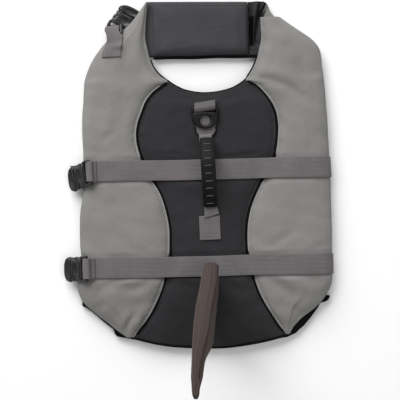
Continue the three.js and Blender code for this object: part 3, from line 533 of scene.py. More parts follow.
def finish_of(name):
    """The named finish, made once from the colours of the panel in the sidebar."""
    title = "dressed_" + name
    found = bpy.data.materials.get(title)
    if found:
        return found
    colours = bpy.context.scene.jacket_colours
    looks = {
        "grey_cloth": (woven_cloth, colours.grey, 1.0, 0.04),
        # Painted highlight: the grey cloth made lighter, for the rims beside the seams
        "grey_edge": (woven_cloth, colours.grey, 1.35, 0.05),
        "grey_thread": (woven_cloth, colours.grey, 1.1, 0.05),
        "dark_cloth": (woven_cloth, colours.dark, 1.0, 0.01),
        # Painted light: the back's charcoal cloth made lighter for the wing's lit folds
        "wing_cloth": (woven_cloth, colours.dark, 1.15, 0.02),
        "dark_thread": (woven_cloth, colours.dark, 1.3, 0.02),
        "pad_cloth": (woven_cloth, colours.pad, 1.0, 0.03),
        "fin_cloth": (woven_cloth, colours.fin, 0.84, 0.03),
        # Painted highlight and painted shade: the fin cloth made lighter for the left seam's piping, darker for the
        # right's
        "fin_edge": (woven_cloth, colours.fin, 1.2, 0.05),
        "fin_shade": (woven_cloth, colours.fin, 0.45, 0.0),
        "black_trim": (woven_cloth, colours.trim, 1.0, 0.0),
        "web_thread": (woven_cloth, colours.webbing, 0.45, 0.02),
        "webbing": (webbing_cloth, colours.webbing, 1.0, 0.03),
        # Painted highlight: the webbing made lighter for the handle's front fold
        "light_webbing": (webbing_cloth, colours.webbing, 1.4, 0.03),
        "shaded_webbing": (webbing_cloth, colours.webbing, 0.76, 0.02),
        "black_plastic": (moulded_plastic, colours.plastic, 1.1, 0.5),
        "ring_plastic": (moulded_plastic, colours.plastic, 0.5, 0.22),
        "grip_rubber": (moulded_plastic, colours.plastic, 0.95, 0.07),
        # Painted highlight: the grip's rubber made far lighter, for the crests of its ribs
        "rib_rubber": (moulded_plastic, colours.plastic, 7.5, 0.2),
    }
    make, colour, strength, shine = looks[name]
    return make(title, [v * strength for v in colour], shine)


# Surfaces of the panels

def seam_gap(seam):
    """Half the gap at a seam, measured along X, wider where the seam slants; pinched at both ends."""
    slope = np.abs(np.diff(seam) / np.diff(ROW_Y))
    steep = (slope[:-1] + slope[1:]) / 2
    return np.concatenate([[SEAM_END_HALF], CORD_HALF * np.hypot(1, steep), [SEAM_END_HALF]])


def side_grids(sign):
    """Coarse outer and inner grids of a side panel: over its top, round its edge and under to the lip."""
    seam, edge, shoulder = (
        (LEFT_SEAM, LEFT_EDGE, SHOULDER_LEFT) if sign < 0 else (RIGHT_SEAM, RIGHT_EDGE, SHOULDER_RIGHT)
    )
    y = np.concatenate([ROW_Y, shoulder[:, 0]])[:, None]
    inside = np.concatenate([seam + seam_gap(seam), shoulder[:, 1]])[:, None]
    out = np.concatenate([edge, shoulder[:, 2]])[:, None]
    turned = np.concatenate([TURNED, np.zeros(len(shoulder))])[:, None] > 0
    free = (np.arange(len(y)) >= len(ROW_Y))[:, None]
    shrink = np.minimum(1, (out - inside) / 60)
    body = 0.5 + 0.5 * shrink

    def height(z):
        return PANEL_BOTTOM + (z - PANEL_BOTTOM) * body

    off, z = INNER_COLUMNS.T
    first_x = inside + off * shrink
    first_z = height(np.where(free, np.minimum(z, EDGE_Z + off * 0.8), z))
    share = np.array([0.33, 0.67])
    start = inside + off[-1] * shrink
    middle_x = start + (out - FLAT_COLUMNS[0, 0] * shrink - start) * share
    under_x = np.where(turned, start + (out - TURNED_COLUMNS[0, 2] - start) * share, middle_x)
    middle_z = height(np.full_like(middle_x, 22.4))
    groove = under_groove(y)
    t_off, t_z, t_under, t_under_z = TURNED_COLUMNS.T
    f_off, f_z, f_under, _ = FLAT_COLUMNS.T
    edge_x = np.where(turned, out - t_off, out - f_off * shrink)
    edge_z = np.where(turned, np.maximum(t_z, groove), height(f_z))
    in_x = np.where(turned, out - t_under, out - f_under * shrink)
    in_z = np.where(turned, t_under_z + np.where(t_under_z < 6, groove, 0), PANEL_BOTTOM)
    outer_x = np.hstack([first_x, middle_x, edge_x])
    outer_z = np.hstack([first_z, middle_z, edge_z])
    inner_x = np.hstack([first_x, under_x, in_x])
    inner_z = np.hstack([np.full_like(first_z, PANEL_BOTTOM), np.full_like(middle_z, PANEL_BOTTOM), in_z])
    rows = np.broadcast_to(y, outer_x.shape)
    return np.stack([sign * outer_x, rows, outer_z], -1), np.stack([sign * inner_x, rows, inner_z], -1)


def back_grid():
    """Coarse top of the back panel, with its curved hem and neck; z follows a crown (1 - |s|^3)^0.8."""
    s = BACK_COLUMNS[None]
    left = -LEFT_SEAM + seam_gap(LEFT_SEAM)
    right = RIGHT_SEAM - seam_gap(RIGHT_SEAM)
    x = left[:, None] + (right - left)[:, None] * (s + 1) / 2
    y = ROW_Y[:, None] - HEM_DROP * HEM[:, None] * (1 - np.abs(s) ** 2.2) - NECK_DIP * NECK[:, None] * (1 - np.abs(s) ** 2.5)
    pinch = 1 - 0.62 * np.maximum(HEM, NECK)[:, None] ** 3
    edge = EDGE_Z + (SEAM_Z - EDGE_Z) * pinch
    z = edge + (CROWN_Z - SEAM_Z) * (1 - np.abs(s) ** 3) ** 0.8 * pinch
    return np.stack([x, y + 0 * x, z + 0 * x], -1)


def dressed(grid, up, creases, seed, depth, seam_offset):
    """The grid moved along its normals: creases, dents under the belts, pillowing and seam puckers.
    seam_offset is each point's distance from the nearest seam; the underside stays as it is."""
    x, y, z = np.moveaxis(grid, -1, 0)
    top = np.clip((z - 9) / 7, 0, 1)
    droop = np.clip((-72 - y) / 70, 0, 1.2)
    move = -depth * crease_depth(x, y, creases)
    move += 0.8 * unevenness(x, y, 70, seed) + 0.32 * unevenness(x, y, 27, seed + 1)
    move += 0.07 * unevenness(x, y, 9, seed + 2)
    pucker = 0.5 + 0.5 * unevenness(x, y, 12, seed + 3)
    move -= 0.6 * pucker * np.exp(-((seam_offset - 4) / 2.4) ** 2)
    move -= 0.45 * np.exp(-((seam_offset - 2.9) / 0.6) ** 2)
    move += 0.45 * np.exp(-((seam_offset - 1.2) / 0.9) ** 2)
    move *= np.clip(seam_offset / 1.2, 0, 1)
    inside = 1 - belt_dent(y)
    move = move * (0.35 + 0.65 * inside) - 1.0 * belt_dent(y)
    moved = grid + grid_normals(grid, up) * (move * top)[..., None]
    moved[..., 2] -= HEM_DROOP * droop**1.4 * top
    moved[..., 2] = np.maximum(moved[..., 2], np.clip(z, 0.05, PANEL_BOTTOM + 0.1))
    return moved


def height_at(cloud, x, y):
    """Height of a cloth surface at places, from its three nearest points, weighted by closeness."""
    x, y = np.atleast_1d(x).astype(float), np.atleast_1d(y).astype(float)
    found = []
    for part_x, part_y in zip(np.array_split(x, len(x) // 200 + 1), np.array_split(y, len(y) // 200 + 1)):
        square = (cloud[None, :, 0] - part_x[:, None]) ** 2 + (cloud[None, :, 1] - part_y[:, None]) ** 2
        near = np.argpartition(square, 3, axis=1)[:, :3]
        weight = 1 / (np.take_along_axis(square, near, 1) + 0.05)
        found.append((cloud[near, 2] * weight).sum(1) / weight.sum(1))
    return np.concatenate(found)


SURFACES = {}


def surface(name):
    """Fine grid of a panel's outer face, worked out once."""
    if name in SURFACES:
        return SURFACES[name]
    depth = bpy.context.scene.jacket_sizes.crease_depth
    if name == "back":
        fine = refine_back(back_grid())
        x, y = fine[..., 0], fine[..., 1]
        left = smooth_values(np.clip(y, ROW_Y[0], ROW_Y[-1]), ROW_Y, -LEFT_SEAM)
        right = smooth_values(np.clip(y, ROW_Y[0], ROW_Y[-1]), ROW_Y, RIGHT_SEAM)
        off = np.minimum(x - left, right - x) - CORD_HALF
        SURFACES[name] = dressed(fine, 1, BACK_CREASES, 11, depth, np.maximum(off, 0.0))
        return SURFACES[name]
    sign = -1 if name == "side_left" else 1
    fine = refine(side_grids(sign)[0], 1.35, 0.7, 9)
    run = np.cumsum(np.linalg.norm(np.diff(fine, axis=1, prepend=fine[:, :1]), axis=2), axis=1)
    SURFACES[name] = dressed(fine, sign, SIDE_CREASES, 21 + sign, depth, run)
    return SURFACES[name]


def refine_back(grid):
    """The back panel's top, refined, with closer columns near both seams."""
    u = lengths_along(grid, 1)
    half = spaced(u[-1] / 2, 1.5, 0.7, 9)
    places = np.concatenate([half, u[-1] - half[-2::-1]])
    rows = smooth_values(places, u, grid.swapaxes(0, 1)).swapaxes(0, 1)
    v = lengths_along(rows, 0)
    return smooth_values(spaced(v[-1], 1.35), v, rows)


def cloud_of(*names):
    """Points of the upper faces of the named panels."""
    points = np.concatenate([surface(n).reshape(-1, 3) for n in names])
    return points[points[:, 2] > 9.4]


def lifted(line, amount):
    """A line raised by an amount."""
    moved = np.array(line, float)
    moved[:, 2] += amount
    return moved


def visible(line):
    """The parts of a line that no belt covers."""
    off = np.abs(np.abs(line[:, 1]) - BELT_Y) - BELT_WIDTH / 2
    parts = np.split(line, np.flatnonzero(np.diff((off > 1).astype(int))) + 1)
    return [part for part in parts if len(part) > 6 and abs(abs(part[2, 1]) - BELT_Y) > BELT_WIDTH / 2 + 1]


def smooth_seam(values, y):
    """A row table's values at other places along the jacket."""
    return smooth_values(np.clip(y, ROW_Y[0], ROW_Y[-1]), ROW_Y, values)


# Panels

def build_side(sign):
    """A side panel: its dressed outer face, closed by an inner face of the same number of points."""
    name = "side_left" if sign < 0 else "side_right"
    outer = surface(name)
    coarse_outer, coarse_inner = side_grids(sign)
    u = lengths_along(coarse_outer, 1)
    places = spaced(u[-1], 1.35, 0.7, 9)
    rows = smooth_values(places, u, coarse_inner.swapaxes(0, 1)).swapaxes(0, 1)
    outer_rows = smooth_values(places, u, coarse_outer.swapaxes(0, 1)).swapaxes(0, 1)
    v = lengths_along(outer_rows, 0)
    inner = smooth_values(spaced(v[-1], 1.35), v, rows)
    inner[..., 2] = np.clip(inner[..., 2], 2.2, PANEL_BOTTOM)
    points = np.stack([outer, inner])
    obj = make_piece(name + "_panel", [(points, shell_quads(*outer.shape[:2]))], finish_of("grey_cloth"),
                     [name])
    return obj


def build_back():
    """The back panel: its dressed top, closed by a flat underside."""
    outer = surface("back")
    inner = outer.copy()
    inner[..., 2] = PANEL_BOTTOM
    obj = make_piece("back_hourglass", [(np.stack([outer, inner]), shell_quads(*outer.shape[:2]))],
                     finish_of("dark_cloth"), ["back_panel"])
    return obj


BELLY_ROWS = np.array([
    (-153, -62, 66), (-149, -90, 94), (-144, -115, 105), (-141, -118, 108), (-135, -119.5, 115), (-126, -131, 123),
    (-113, -145.5, 133), (-108, -152, 135.5), (-106, -157, 143), (-103.6, -157.6, 146), (-99, -156.5, 148),
])
FLAP_LEFT = np.array([
    (116, -127, -84), (131, -127, -78), (163, -124, -72), (184, -128, -84), (200, -124, -90), (212, -114, -96),
])
FLAP_RIGHT = np.array([
    (116, 84, 123.5), (131, 80, 122.5), (163, 76, 120.5), (184, 86, 128), (205, 86, 129), (226, 86, 111),
    (238, 82, 97), (243, 72.5, 88), (252, 75, 81), (261.5, 76.4, 78),
])


def build_under(name, table, slot, node, seed, grooved=False):
    """A flat pad on the floor: its top swells from a seam 2 mm below it, the straps' grooves beneath."""
    v = np.concatenate([[0], np.cumsum(np.hypot(np.diff(table[:, 0]), np.diff(table[:, 1])))])
    at = spaced(v[-1], 1.6)
    y, left, right = np.array([np.interp(at, v, column) for column in table.T])
    s = np.sin(np.linspace(-1, 1, 90) * math.pi / 2)[None]
    x = left[:, None] + (right - left)[:, None] * (s + 1) / 2
    rows = np.broadcast_to(y[:, None], x.shape)
    end = np.minimum(y - y[0], y[-1] - y)[:, None]
    edge = np.clip(np.minimum((x - left[:, None]), (right[:, None] - x)) / 5, 0, 1)
    rise = np.minimum(edge, np.clip(end / 4, 0, 1))
    top = 6.4 + 2.5 * np.sqrt(1 - (1 - rise) ** 2) + 0.15 * unevenness(x, rows, 12, seed)
    under = under_groove(rows) if grooved else np.zeros(x.shape)
    points = np.stack([np.stack([x, rows, np.minimum(top, 9.2)], -1), np.stack([x, rows, under], -1)])
    obj = make_piece(name, [(points, shell_quads(*x.shape))], finish_of(slot), [node])
    return obj


def belly_table():
    """Rows of the belly panel: its own hem, then a strip inside the side panels' lips."""
    keep = (ROW_Y >= -98) & (ROW_Y < 90)
    inset = LIP + 2 * GAP
    body = np.stack([ROW_Y[keep], -(LEFT_EDGE[keep] - inset), RIGHT_EDGE[keep] - inset], -1)
    return np.concatenate([BELLY_ROWS, body])


CHIN_TOP = np.array([
    (-84, 7), (-65.5, 8.9), (-61.5, 12), (-52, 16), (-22, 18), (18, 18), (43, 16.5), (54, 12.5),
])
CHIN_LOW, CHIN_HIGH, CHIN_RIGHT = 199, 265.6, 54.0
CHIN_SLANT = 0.019


def chin_height(x, v):
    """Height of the chin pad's top: its long section times (1 - |v|^6)^0.45 across."""
    crown = smooth_values(np.clip(x, -84, CHIN_RIGHT), CHIN_TOP[:, 0], CHIN_TOP[:, 1])
    ends = np.clip((CHIN_RIGHT - x) / 5, 0, 1)
    round_end = 0.45 + 0.55 * np.sqrt(1 - (1 - ends) ** 2)
    return 4.5 + (crown * round_end - 4.5) * (1 - np.abs(v) ** 6) ** 0.45


def build_chin():
    """Chin float: a padded bar with two rows of stitching along its top edge, and its binding below."""
    v = np.sin(np.linspace(-1, 1, 110) * math.pi / 2)[:, None]
    y = CHIN_LOW + (CHIN_HIGH - CHIN_LOW) * (v + 1) / 2
    left = np.interp(y, [199, 203, 214, 229, 256, 262.5], [-84, -84, -82, -76, -71, -71])
    s = np.linspace(0, 1, 150)[None]
    x = left + (CHIN_RIGHT - left) * s
    rows = y - CHIN_SLANT * x * (v + 1) / 2
    z = chin_height(x, np.broadcast_to(v, x.shape))
    for line in (CHIN_HIGH - 3.4, CHIN_HIGH - 6.6):
        z = z - 0.7 * np.exp(-(((y - line) / 0.9) ** 2)) * np.clip((x + 60) / 8, 0, 1)
    z = z + 0.35 * unevenness(x, rows, 34, 41) + 0.1 * unevenness(x, rows, 11, 42)
    z = z - 0.8 * crease_depth(x, rows, CHIN_CREASES)
    z = np.where(x < -63, np.minimum(z, 9.0), z)
    groove = np.where((rows > 228) & (rows < 257), GROOVE, 0)
    under = np.stack([x, rows, groove + 0 * x], -1)
    points = np.stack([np.stack([x, rows, np.maximum(z, groove + 1.5)], -1), under])
    obj = make_piece("chin_float", [(points, shell_quads(*x.shape))], finish_of("pad_cloth"),
                     ["chin_pad"])
    edge_x = np.linspace(-64, 80, 80)
    path = np.stack([edge_x, np.full(80, 197.2) + 0.3 * np.sin(edge_x / 9), np.full(80, 6.0)], -1)
    path[:, 2] += 0.5 * np.sin(edge_x / 17)
    make_piece("chin_binding", [sweep(path, round_section(14, 1.7, 2.4, 2.6), taper=2)],
               finish_of("black_trim"))
    return obj


CHIN_CREASES = np.array([
    (-58, 250, -50, 214, 4, 4, 1.2), (-46, 246, -38, 222, 3, 6, 0.6), (44, 250, 48, 214, -2, 3.5, 0.8),
    (-30, 204, 20, 203, 2, 3, 0.4),
])

# Dark wing, crushed into two folds: each row's y, then the places along X, then the heights
WING_ROWS = np.array([
    (199, 54.4, 57, 60, 64, 68, 74, 84, 8.5, 8.5, 8.5, 8.4, 8.4, 8.2, 8),
    (207, 54.4, 55.6, 58, 62, 66, 74, 84, 8, 5, 7, 9, 9, 8.8, 8.8),
    (216, 54.4, 55.2, 58.4, 60, 61.6, 66, 84, 7, 1.5, 1.5, 9, 4, 8.8, 8.8),
    (230, 54.4, 55.2, 58, 60.4, 62.8, 66.5, 80, 7, 1.5, 1.5, 11.5, 2, 8.8, 8.8),
    (240, 54.4, 55.2, 57.8, 61, 64.4, 67.5, 74, 7, 1.5, 2, 12.5, 2, 8.8, 8.8),
    (251, 54.4, 55.4, 58, 62.6, 67.4, 69.6, 72, 7, 2, 3, 12.5, 3, 7, 9),
    (264.5, 54.6, 56.6, 60, 65.5, 70.5, 73, 74.6, 6, 4.5, 5.5, 8.5, 5, 5, 7),
])


def build_wing():
    """The dark wing: cloth crushed into two deep folds, a smooth surface through its table of heights. Its cloth is the
    back's charcoal made lighter, as painted light on its raised folds, and a black strip in the fold by the chin pad is
    painted shade.
    """
    x, z = WING_ROWS[:, 1:8], WING_ROWS[:, 8:]
    y = np.broadcast_to(WING_ROWS[:, :1], x.shape)
    outer = refine(np.stack([x, y, z], -1), 0.5)
    move = 0.25 * unevenness(outer[..., 0], outer[..., 1], 7, 51) + 0.4 * unevenness(outer[..., 0], outer[..., 1], 16, 52)
    outer[..., 2] = np.maximum(outer[..., 2] + move, 0.8)
    inner = outer.copy()
    inner[..., 2] = 0
    obj = make_piece("folded_wing", [(np.stack([outer, inner]), shell_quads(*outer.shape[:2]))],
                     finish_of("wing_cloth"), ["chin_wing"])
    # Painted shade: a thin black strip laid in the fold between the chin pad's end and the wing's ridge, where shade
    # falls.
    across, along = outer[len(outer) // 2, :, 0], outer[:, 0, 1]
    strip = outer[(along > 210) & (along < 247)][:, (across > 55.3) & (across < 60.2)] + [0, 0, 0.25]
    make_piece("wing_fold_painted_shade", [(np.stack([strip, strip - [0, 0, 0.5]]), shell_quads(*strip.shape[:2]))],
               finish_of("black_trim"))
    path = refine_line([(66.6, 245.4, 11.1), (69.1, 250.3, 11.5), (73.7, 258.3, 10.7), (75.6, 262.8, 10)], 0.8)
    make_piece("fold_tape", [sweep(path, round_section(14, 1.5, 1.1, 2.6), taper=1.2)],
               finish_of("black_trim"), ["fold_binding"])
    return obj


# Piping and bindings

def build_piping(sign):
    """Piping: a round cord in its bias strip along the seam, and the side cloth's folded rim beside it, coloured
    lighter than the cloth as a painted highlight.
    """
    seam = LEFT_SEAM if sign < 0 else RIGHT_SEAM
    y = np.linspace(-141, 166.6, 270)
    z = SEAM_Z + 0.2 - 0.9 * belt_dent(y) - HEM_DROOP * np.clip((-72 - y) / 70, 0, 1.2) ** 1.4
    z += 0.7 * np.clip((y - 156) / 8, 0, 1)
    path = np.stack([sign * smooth_seam(seam, y), y, z], -1)
    side = "left" if sign < 0 else "right"
    section = round_section(14, CORD_RADIUS, CORD_RADIUS)
    make_piece(f"piping_{side}_cord", [sweep(path, section, taper=1.5)], finish_of("black_trim"),
               [f"piping_{side}"])
    grid = surface("side_" + side)
    # Painted highlight: the rim beside the seam is the grey cloth made lighter, standing in for light caught by the
    # fold.
    rims = [sweep(lifted(part[::2], 0.05), round_section(10, 0.75, 0.6), taper=1)
            for part in visible(grid[4:-12, 1][grid[4:-12, 1, 1] < 164])]
    make_piece(f"seam_rim_{side}", rims, finish_of("grey_edge"))


def offset_line(line, reach):
    """A line moved in its own plane, to the right of the way it runs."""
    ahead = unit(np.gradient(line[:, :2], axis=0))
    moved = line.copy()
    moved[:, 0] += ahead[:, 1] * reach
    moved[:, 1] -= ahead[:, 0] * reach
    return moved


def neck_line():
    """The neck edge, from the right shoulder round the back panel to the left shoulder."""
    right, left, back = surface("side_right"), surface("side_left"), surface("back")
    rows = [edge[(edge[:, 1] > 168) & (edge[:, 1] < 199)] for edge in (right[:, 0], left[:, 0])]
    return np.concatenate([rows[0][::-4], back[-1][::-3], rows[1][::4]])


def build_bindings():
    """Binding tapes: a flattened cord round the neck edge and the back's hem."""
    for name, node, line, z, reach, half in (
        ("neck_tape", "neck_binding", neck_line(), 11.4, 0.8, 1.0),
        ("hem_tape", "hem_binding", surface("back")[0][::3], 10.6, 1.2, 1.4),
    ):
        path = offset_line(line, reach)
        path[:, 2] = z
        section = round_section(14, half, 2.1, 2.6)
        make_piece(name, [sweep(refine_line(path, 1.5), section, taper=1.5)], finish_of("black_trim"),
                   [node])


# Buckles

BUCKLE_PLACES = {
    "chest": (-141.5, BELT_Y - 1, 28.4, math.pi + 0.12, 0.66, 1.0),
    "belly": (-148, -BELT_Y, 29.2, math.pi + 0.02, 0.66, 1.0),
    "neck": (-107.5, 230.5, 5.4, 1.08, 0.0, 0.98),
}


BUCKLE_BENDS = {"chest": 0.2, "belly": 0.03, "neck": -0.15}


def placed(points, place, bend=0.0):
    """Points of a buckle's own frame, sloped about Y, turned about Z and moved to their place.
    bend leans the body sideways, past the strap's bar, in proportion to the distance from it."""
    x, y, z, turn, slope, scale = place
    points = np.array(points, float) * scale
    points[..., 1] += bend * np.maximum(points[..., 0] - 6, 0)
    level = np.stack([
        points[..., 0] * math.cos(slope) + points[..., 2] * math.sin(slope),
        points[..., 1],
        points[..., 2] * math.cos(slope) - points[..., 0] * math.sin(slope),
    ], -1)
    return np.stack([
        level[..., 0] * math.cos(turn) - level[..., 1] * math.sin(turn) + x,
        level[..., 0] * math.sin(turn) + level[..., 1] * math.cos(turn) + y,
        level[..., 2] + z,
    ], -1)


def mirrored(half):
    """An outline from its half on one side of the X axis."""
    half = np.asarray(half, float)
    return np.concatenate([half, half[::-1] * (1, -1)])


def bar_between(a, b, half_width, half_height, power=3.0, taper=1.2):
    """A moulded bar between two points."""
    path = np.linspace(np.asarray(a, float), np.asarray(b, float), 16)
    return sweep(path, round_section(20, half_width, half_height, power), taper=taper)


def ridge(points, radius=0.8):
    """A raised rib along a smooth line."""
    return sweep(refine_line(points, 0.8), round_section(10, radius, radius), taper=1)


def socket_solids():
    """Socket: a crowned, waisted body between its mouth and two arms that hold the strap's bar."""
    outline = mirrored([(8.6, -11), (9.4, -14.2), (12.4, -14.8), (15.6, -12.6), (19, -12.6), (22, -14.8), (24.6, -14.6),
                        (25.2, -9)])
    body = pillow(refine_loop(outline), (17, 0), 4.0, power=6, dish=(15.4, 0, 4.2, 7.5, 1.5))
    arms = [bar_between((0.6, side * 13.9, 0), (10.5, side * 13.9, 0), 1.8, 3.3) for side in (-1, 1)]
    bars = [bar_between((2.5, -14.5, 0), (2.5, 14.5, 0), 2.2, 1.6), bar_between((9.4, -13.6, 0), (9.4, 13.6, 0), 1.5, 3.6)]
    mouth = ridge([(24.4, -13.6, 2.2), (22.6, -9, 3.6), (21.6, 0, 4.1), (22.6, 9, 3.6), (24.4, 13.6, 2.2)])
    rim = ridge([(12.4, -12.8, 2.6), (10.8, -8, 3.6), (10.4, 0, 3.8), (10.8, 8, 3.6), (12.4, 12.8, 2.6)], 0.6)
    return [body, *arms, *bars, mouth, rim]


def plug_solids():
    """Plug: an end plate rounded like a D, with a thumb hollow and a rim, and two sprung prongs."""
    outline = mirrored([(25.5, -9), (26, -14.6), (29, -15.6), (33, -13.6), (35.6, -8.6), (36.4, -2)])
    end = pillow(refine_loop(outline), (30.6, 0), 3.9, power=6, dish=(29.6, 0, 3.2, 10, 1.8))
    rim = ridge([(27.4, -14, 2), (31.2, -13, 2.9), (33.8, -8.6, 3.2), (34.8, 0, 3.3), (33.8, 8.6, 3.2), (31.2, 13, 2.9),
                 (27.4, 14, 2)], 0.9)
    prong = np.array([(13.4, -1.8), (16, -2.8), (19, -2.4), (20.6, 0), (19, 1.6), (14, 1.6)])
    prongs = [pillow(refine_loop(prong * (1, side) + (0, side * -12.4)), (16.8, side * -12.6), 2.1, sides=48, rings=8,
                     power=4) for side in (-1, 1)]
    return [end, rim, *prongs]


def refine_loop(outline, count=120):
    """A closed outline, rounded by a smooth line through its points."""
    wrapped = np.concatenate([outline[-3:], outline, outline[:3]])
    run = np.concatenate([[0], np.cumsum(np.linalg.norm(np.diff(wrapped, axis=0), axis=1))])
    return smooth_values(np.linspace(run[3], run[len(outline) + 3], count, endpoint=False), run, wrapped)


def build_buckle(name):
    """Both halves of a side-release buckle, in place of their solids."""
    place = BUCKLE_PLACES[name]
    for part, solids in (("socket", socket_solids()), ("plug", plug_solids())):
        made = [(placed(points, place, BUCKLE_BENDS[name]), quads) for points, quads in solids]
        make_piece(f"{name}_{part}_moulding", made, finish_of("black_plastic"),
                   [f"{name}_buckle_{part}"])


# Webbing

def offset_chain(chain, distance):
    """Points of a chain in the XZ plane, moved to the left of the way it runs."""
    ahead = unit(np.gradient(chain[:, [0, 2]], axis=0))
    moved = chain.copy()
    moved[:, 0] -= ahead[:, 1] * distance
    moved[:, 2] += ahead[:, 0] * distance
    return moved


# Where the folded end of each belt is sewn down
BELT_TAILS = (-134.8, -139.2)


def belt_line(row, place, side):
    """One edge of a belt: its doubled end, round the socket's bar, over the cloth, under, and to the plug."""
    y = ROW_Y[row]
    left = side_grids(-1)[0][row]
    right = side_grids(1)[0][row]
    back = back_grid()[row]
    under_left = -(LEFT_EDGE[row] - 14)
    under = np.array([(100, y, GROOVE), (0, y, GROOVE), (under_left, y, GROOVE)])
    cloth = np.concatenate([left[6:1:-1], back[2:9], right[2:], under])
    laid = offset_chain(cloth, GAP + WEB / 2 - 0.55)
    bar_x, bar_z = place[0] - 2.5 * math.cos(place[4]), place[2] - 2.5 * math.sin(place[4])
    bar_x += 0.4 * math.tan(place[3] - math.pi) * side * 12.5
    tail_x = BELT_TAILS[0] if place is BUCKLE_PLACES["chest"] else BELT_TAILS[1]
    low_x, low_z = laid[0, 0], laid[0, 2]
    tail_z = np.interp(tail_x, laid[:6, 0], laid[:6, 2]) if tail_x > low_x else low_z
    fold = np.array([
        (tail_x, tail_z + 1.9), (tail_x - 4, tail_z + 2.8), (bar_x + 2.6, bar_z + 3.1), (bar_x - 1.6, bar_z + 2.4),
        (bar_x - 3.6, bar_z - 0.4), (bar_x - 2.2, bar_z - 3.2), (bar_x + 2, bar_z - 3.1), (low_x - 4.5, low_z + 0.3),
    ])
    fold = np.stack([fold[:, 0], np.full(len(fold), y + 0.0), fold[:, 1]], -1)
    free = np.array([(under_left - 10, y, GROOVE + 0.6)])
    plug = placed([(31.6, side * 12.2, -5.4), (31.6, side * 12.2, 0.6)], place)
    return np.concatenate([fold, laid, free, plug])


def build_belt(name, row, wrinkle):
    """A belt: webbing swept between its two edge lines, with a slow waver across."""
    place = BUCKLE_PLACES[name]
    low = belt_line(row, place, 1)
    high = belt_line(row + 1, place, -1)
    middle = (low + high) / 2
    run = np.concatenate([[0], np.cumsum(np.linalg.norm(np.diff(middle, axis=0), axis=1))])
    at = spaced(run[-1], 1.3)
    lines = [smooth_values(at, run, line) for line in (low, high)]
    waver = 0.35 * np.sin(at / 37 + wrinkle) + 0.15 * np.sin(at / 13 + 2 * wrinkle)
    for line, share in zip(lines, (1, -0.6)):
        line[:, 1] += waver
        line[:, 2] += 0.1 * share * np.sin(at / 21 + wrinkle)
        line[:, 2] = np.maximum(line[:, 2], 0.9)
    solid, uv = ribbon(lines[0], lines[1])
    obj = make_piece(f"{name}_webbing", [solid], finish_of("webbing"), [f"{name}_belt"], uv=uv)
    return obj


# Both edges of the neck tab; the first three heights come from the cloth below it
NECK_TAB_EDGES = (
    np.array([(-126, 198, 0), (-124.6, 205, 0), (-121.6, 212, 0), (-119.6, 219, 18.8), (-120.2, 226, 18.6),
              (-122, 231, 17.6), (-121.6, 234.6, 15.4), (-120.6, 236.6, 10), (-119.5, 236.8, 5)]),
    np.array([(-102.8, 198, 0), (-102, 205, 0), (-101.2, 212, 0), (-100.2, 219, 21), (-100, 224.5, 20.4),
              (-104, 229.5, 18.4), (-104.8, 236, 15.8), (-104.4, 238, 10), (-104.2, 238.4, 5)]),
)


def build_neck_straps():
    """The neck buckle's tab, sewn to the left shoulder, and the strap beyond it under the chin float."""
    cloud = cloud_of("side_left")
    lines = []
    for edge in NECK_TAB_EDGES:
        line = edge.copy()
        line[:3, 2] = height_at(cloud, edge[:3, 0], edge[:3, 1]) + GAP + WEB / 2
        lines.append(line)
    middle = (lines[0] + lines[1]) / 2
    run = np.concatenate([[0], np.cumsum(np.linalg.norm(np.diff(middle, axis=0), axis=1))])
    at = spaced(run[-1], 0.9)
    fine = [smooth_values(at, run, line) for line in lines]
    over = fine[0][:, 1] < 219
    rise = np.zeros(len(at))
    for share in (0.05, 0.35, 0.65, 0.95):
        across = fine[0] + (fine[1] - fine[0]) * share
        rise = np.maximum(rise, height_at(cloud, across[:, 0], across[:, 1]) + GAP + WEB / 2 + 0.1 - across[:, 2])
    for line in fine:
        line[:, 2] += np.clip(rise, 0, 6) * over
    solid, uv = ribbon(*fine)
    make_piece("neck_socket_arm", [bar_between((-101.4, 226, 18.6), (-102.2, 239, 14.5), 1.7, 2.4)],
               finish_of("black_plastic"))
    tab = make_piece("neck_tab_webbing", [solid], finish_of("webbing"), ["neck_tab"], uv=uv)
    x = np.array([-94, -82, -68, -30, 20, 53.0])
    low = np.stack([x, [246, 240, 231, 230.5, 230.5, 230.5], np.full(6, 1.05)], -1)
    high = np.stack([x, [258, 256, 255, 254.5, 254.5, 254.5], np.full(6, 1.05)], -1)
    at = np.linspace(-94, 53, 90)
    solid, uv = ribbon(smooth_values(at, x, low), smooth_values(at, x, high), 1.4)
    strap = make_piece("neck_strap_webbing", [solid], finish_of("webbing"), ["neck_strap"], uv=uv)


# Ring and handle

def build_ring_tab():
    """Webbing doubled round the ring's bar: under it, round its front, over it and back to the stitching."""
    base = RING_Z - 4
    profile = np.array([
        (8.2, 1.1), (5.6, 1), (2.6, 0.9), (-1.2, 1.4), (-3.2, 3.6), (-2, 6.4), (0.8, 7.3), (3.8, 5.8), (6.2, 3.6), (8.4, 2.8),
    ])
    lines = []
    for side in (-1, 1):
        y = RING_Y + profile[:, 0] + side * 1.7
        lines.append(np.stack([np.full(len(y), RING_X + side * 12.8), y, base + profile[:, 1]], -1))
    run = np.concatenate([[0], np.cumsum(np.linalg.norm(np.diff(lines[0], axis=0), axis=1))])
    at = spaced(run[-1], 0.45)
    solid, uv = ribbon(*(smooth_values(at, run, line) for line in lines), thickness=1.5)
    obj = make_piece("ring_tab_webbing", [solid], finish_of("shaded_webbing"), ["ring_tab"], uv=uv)


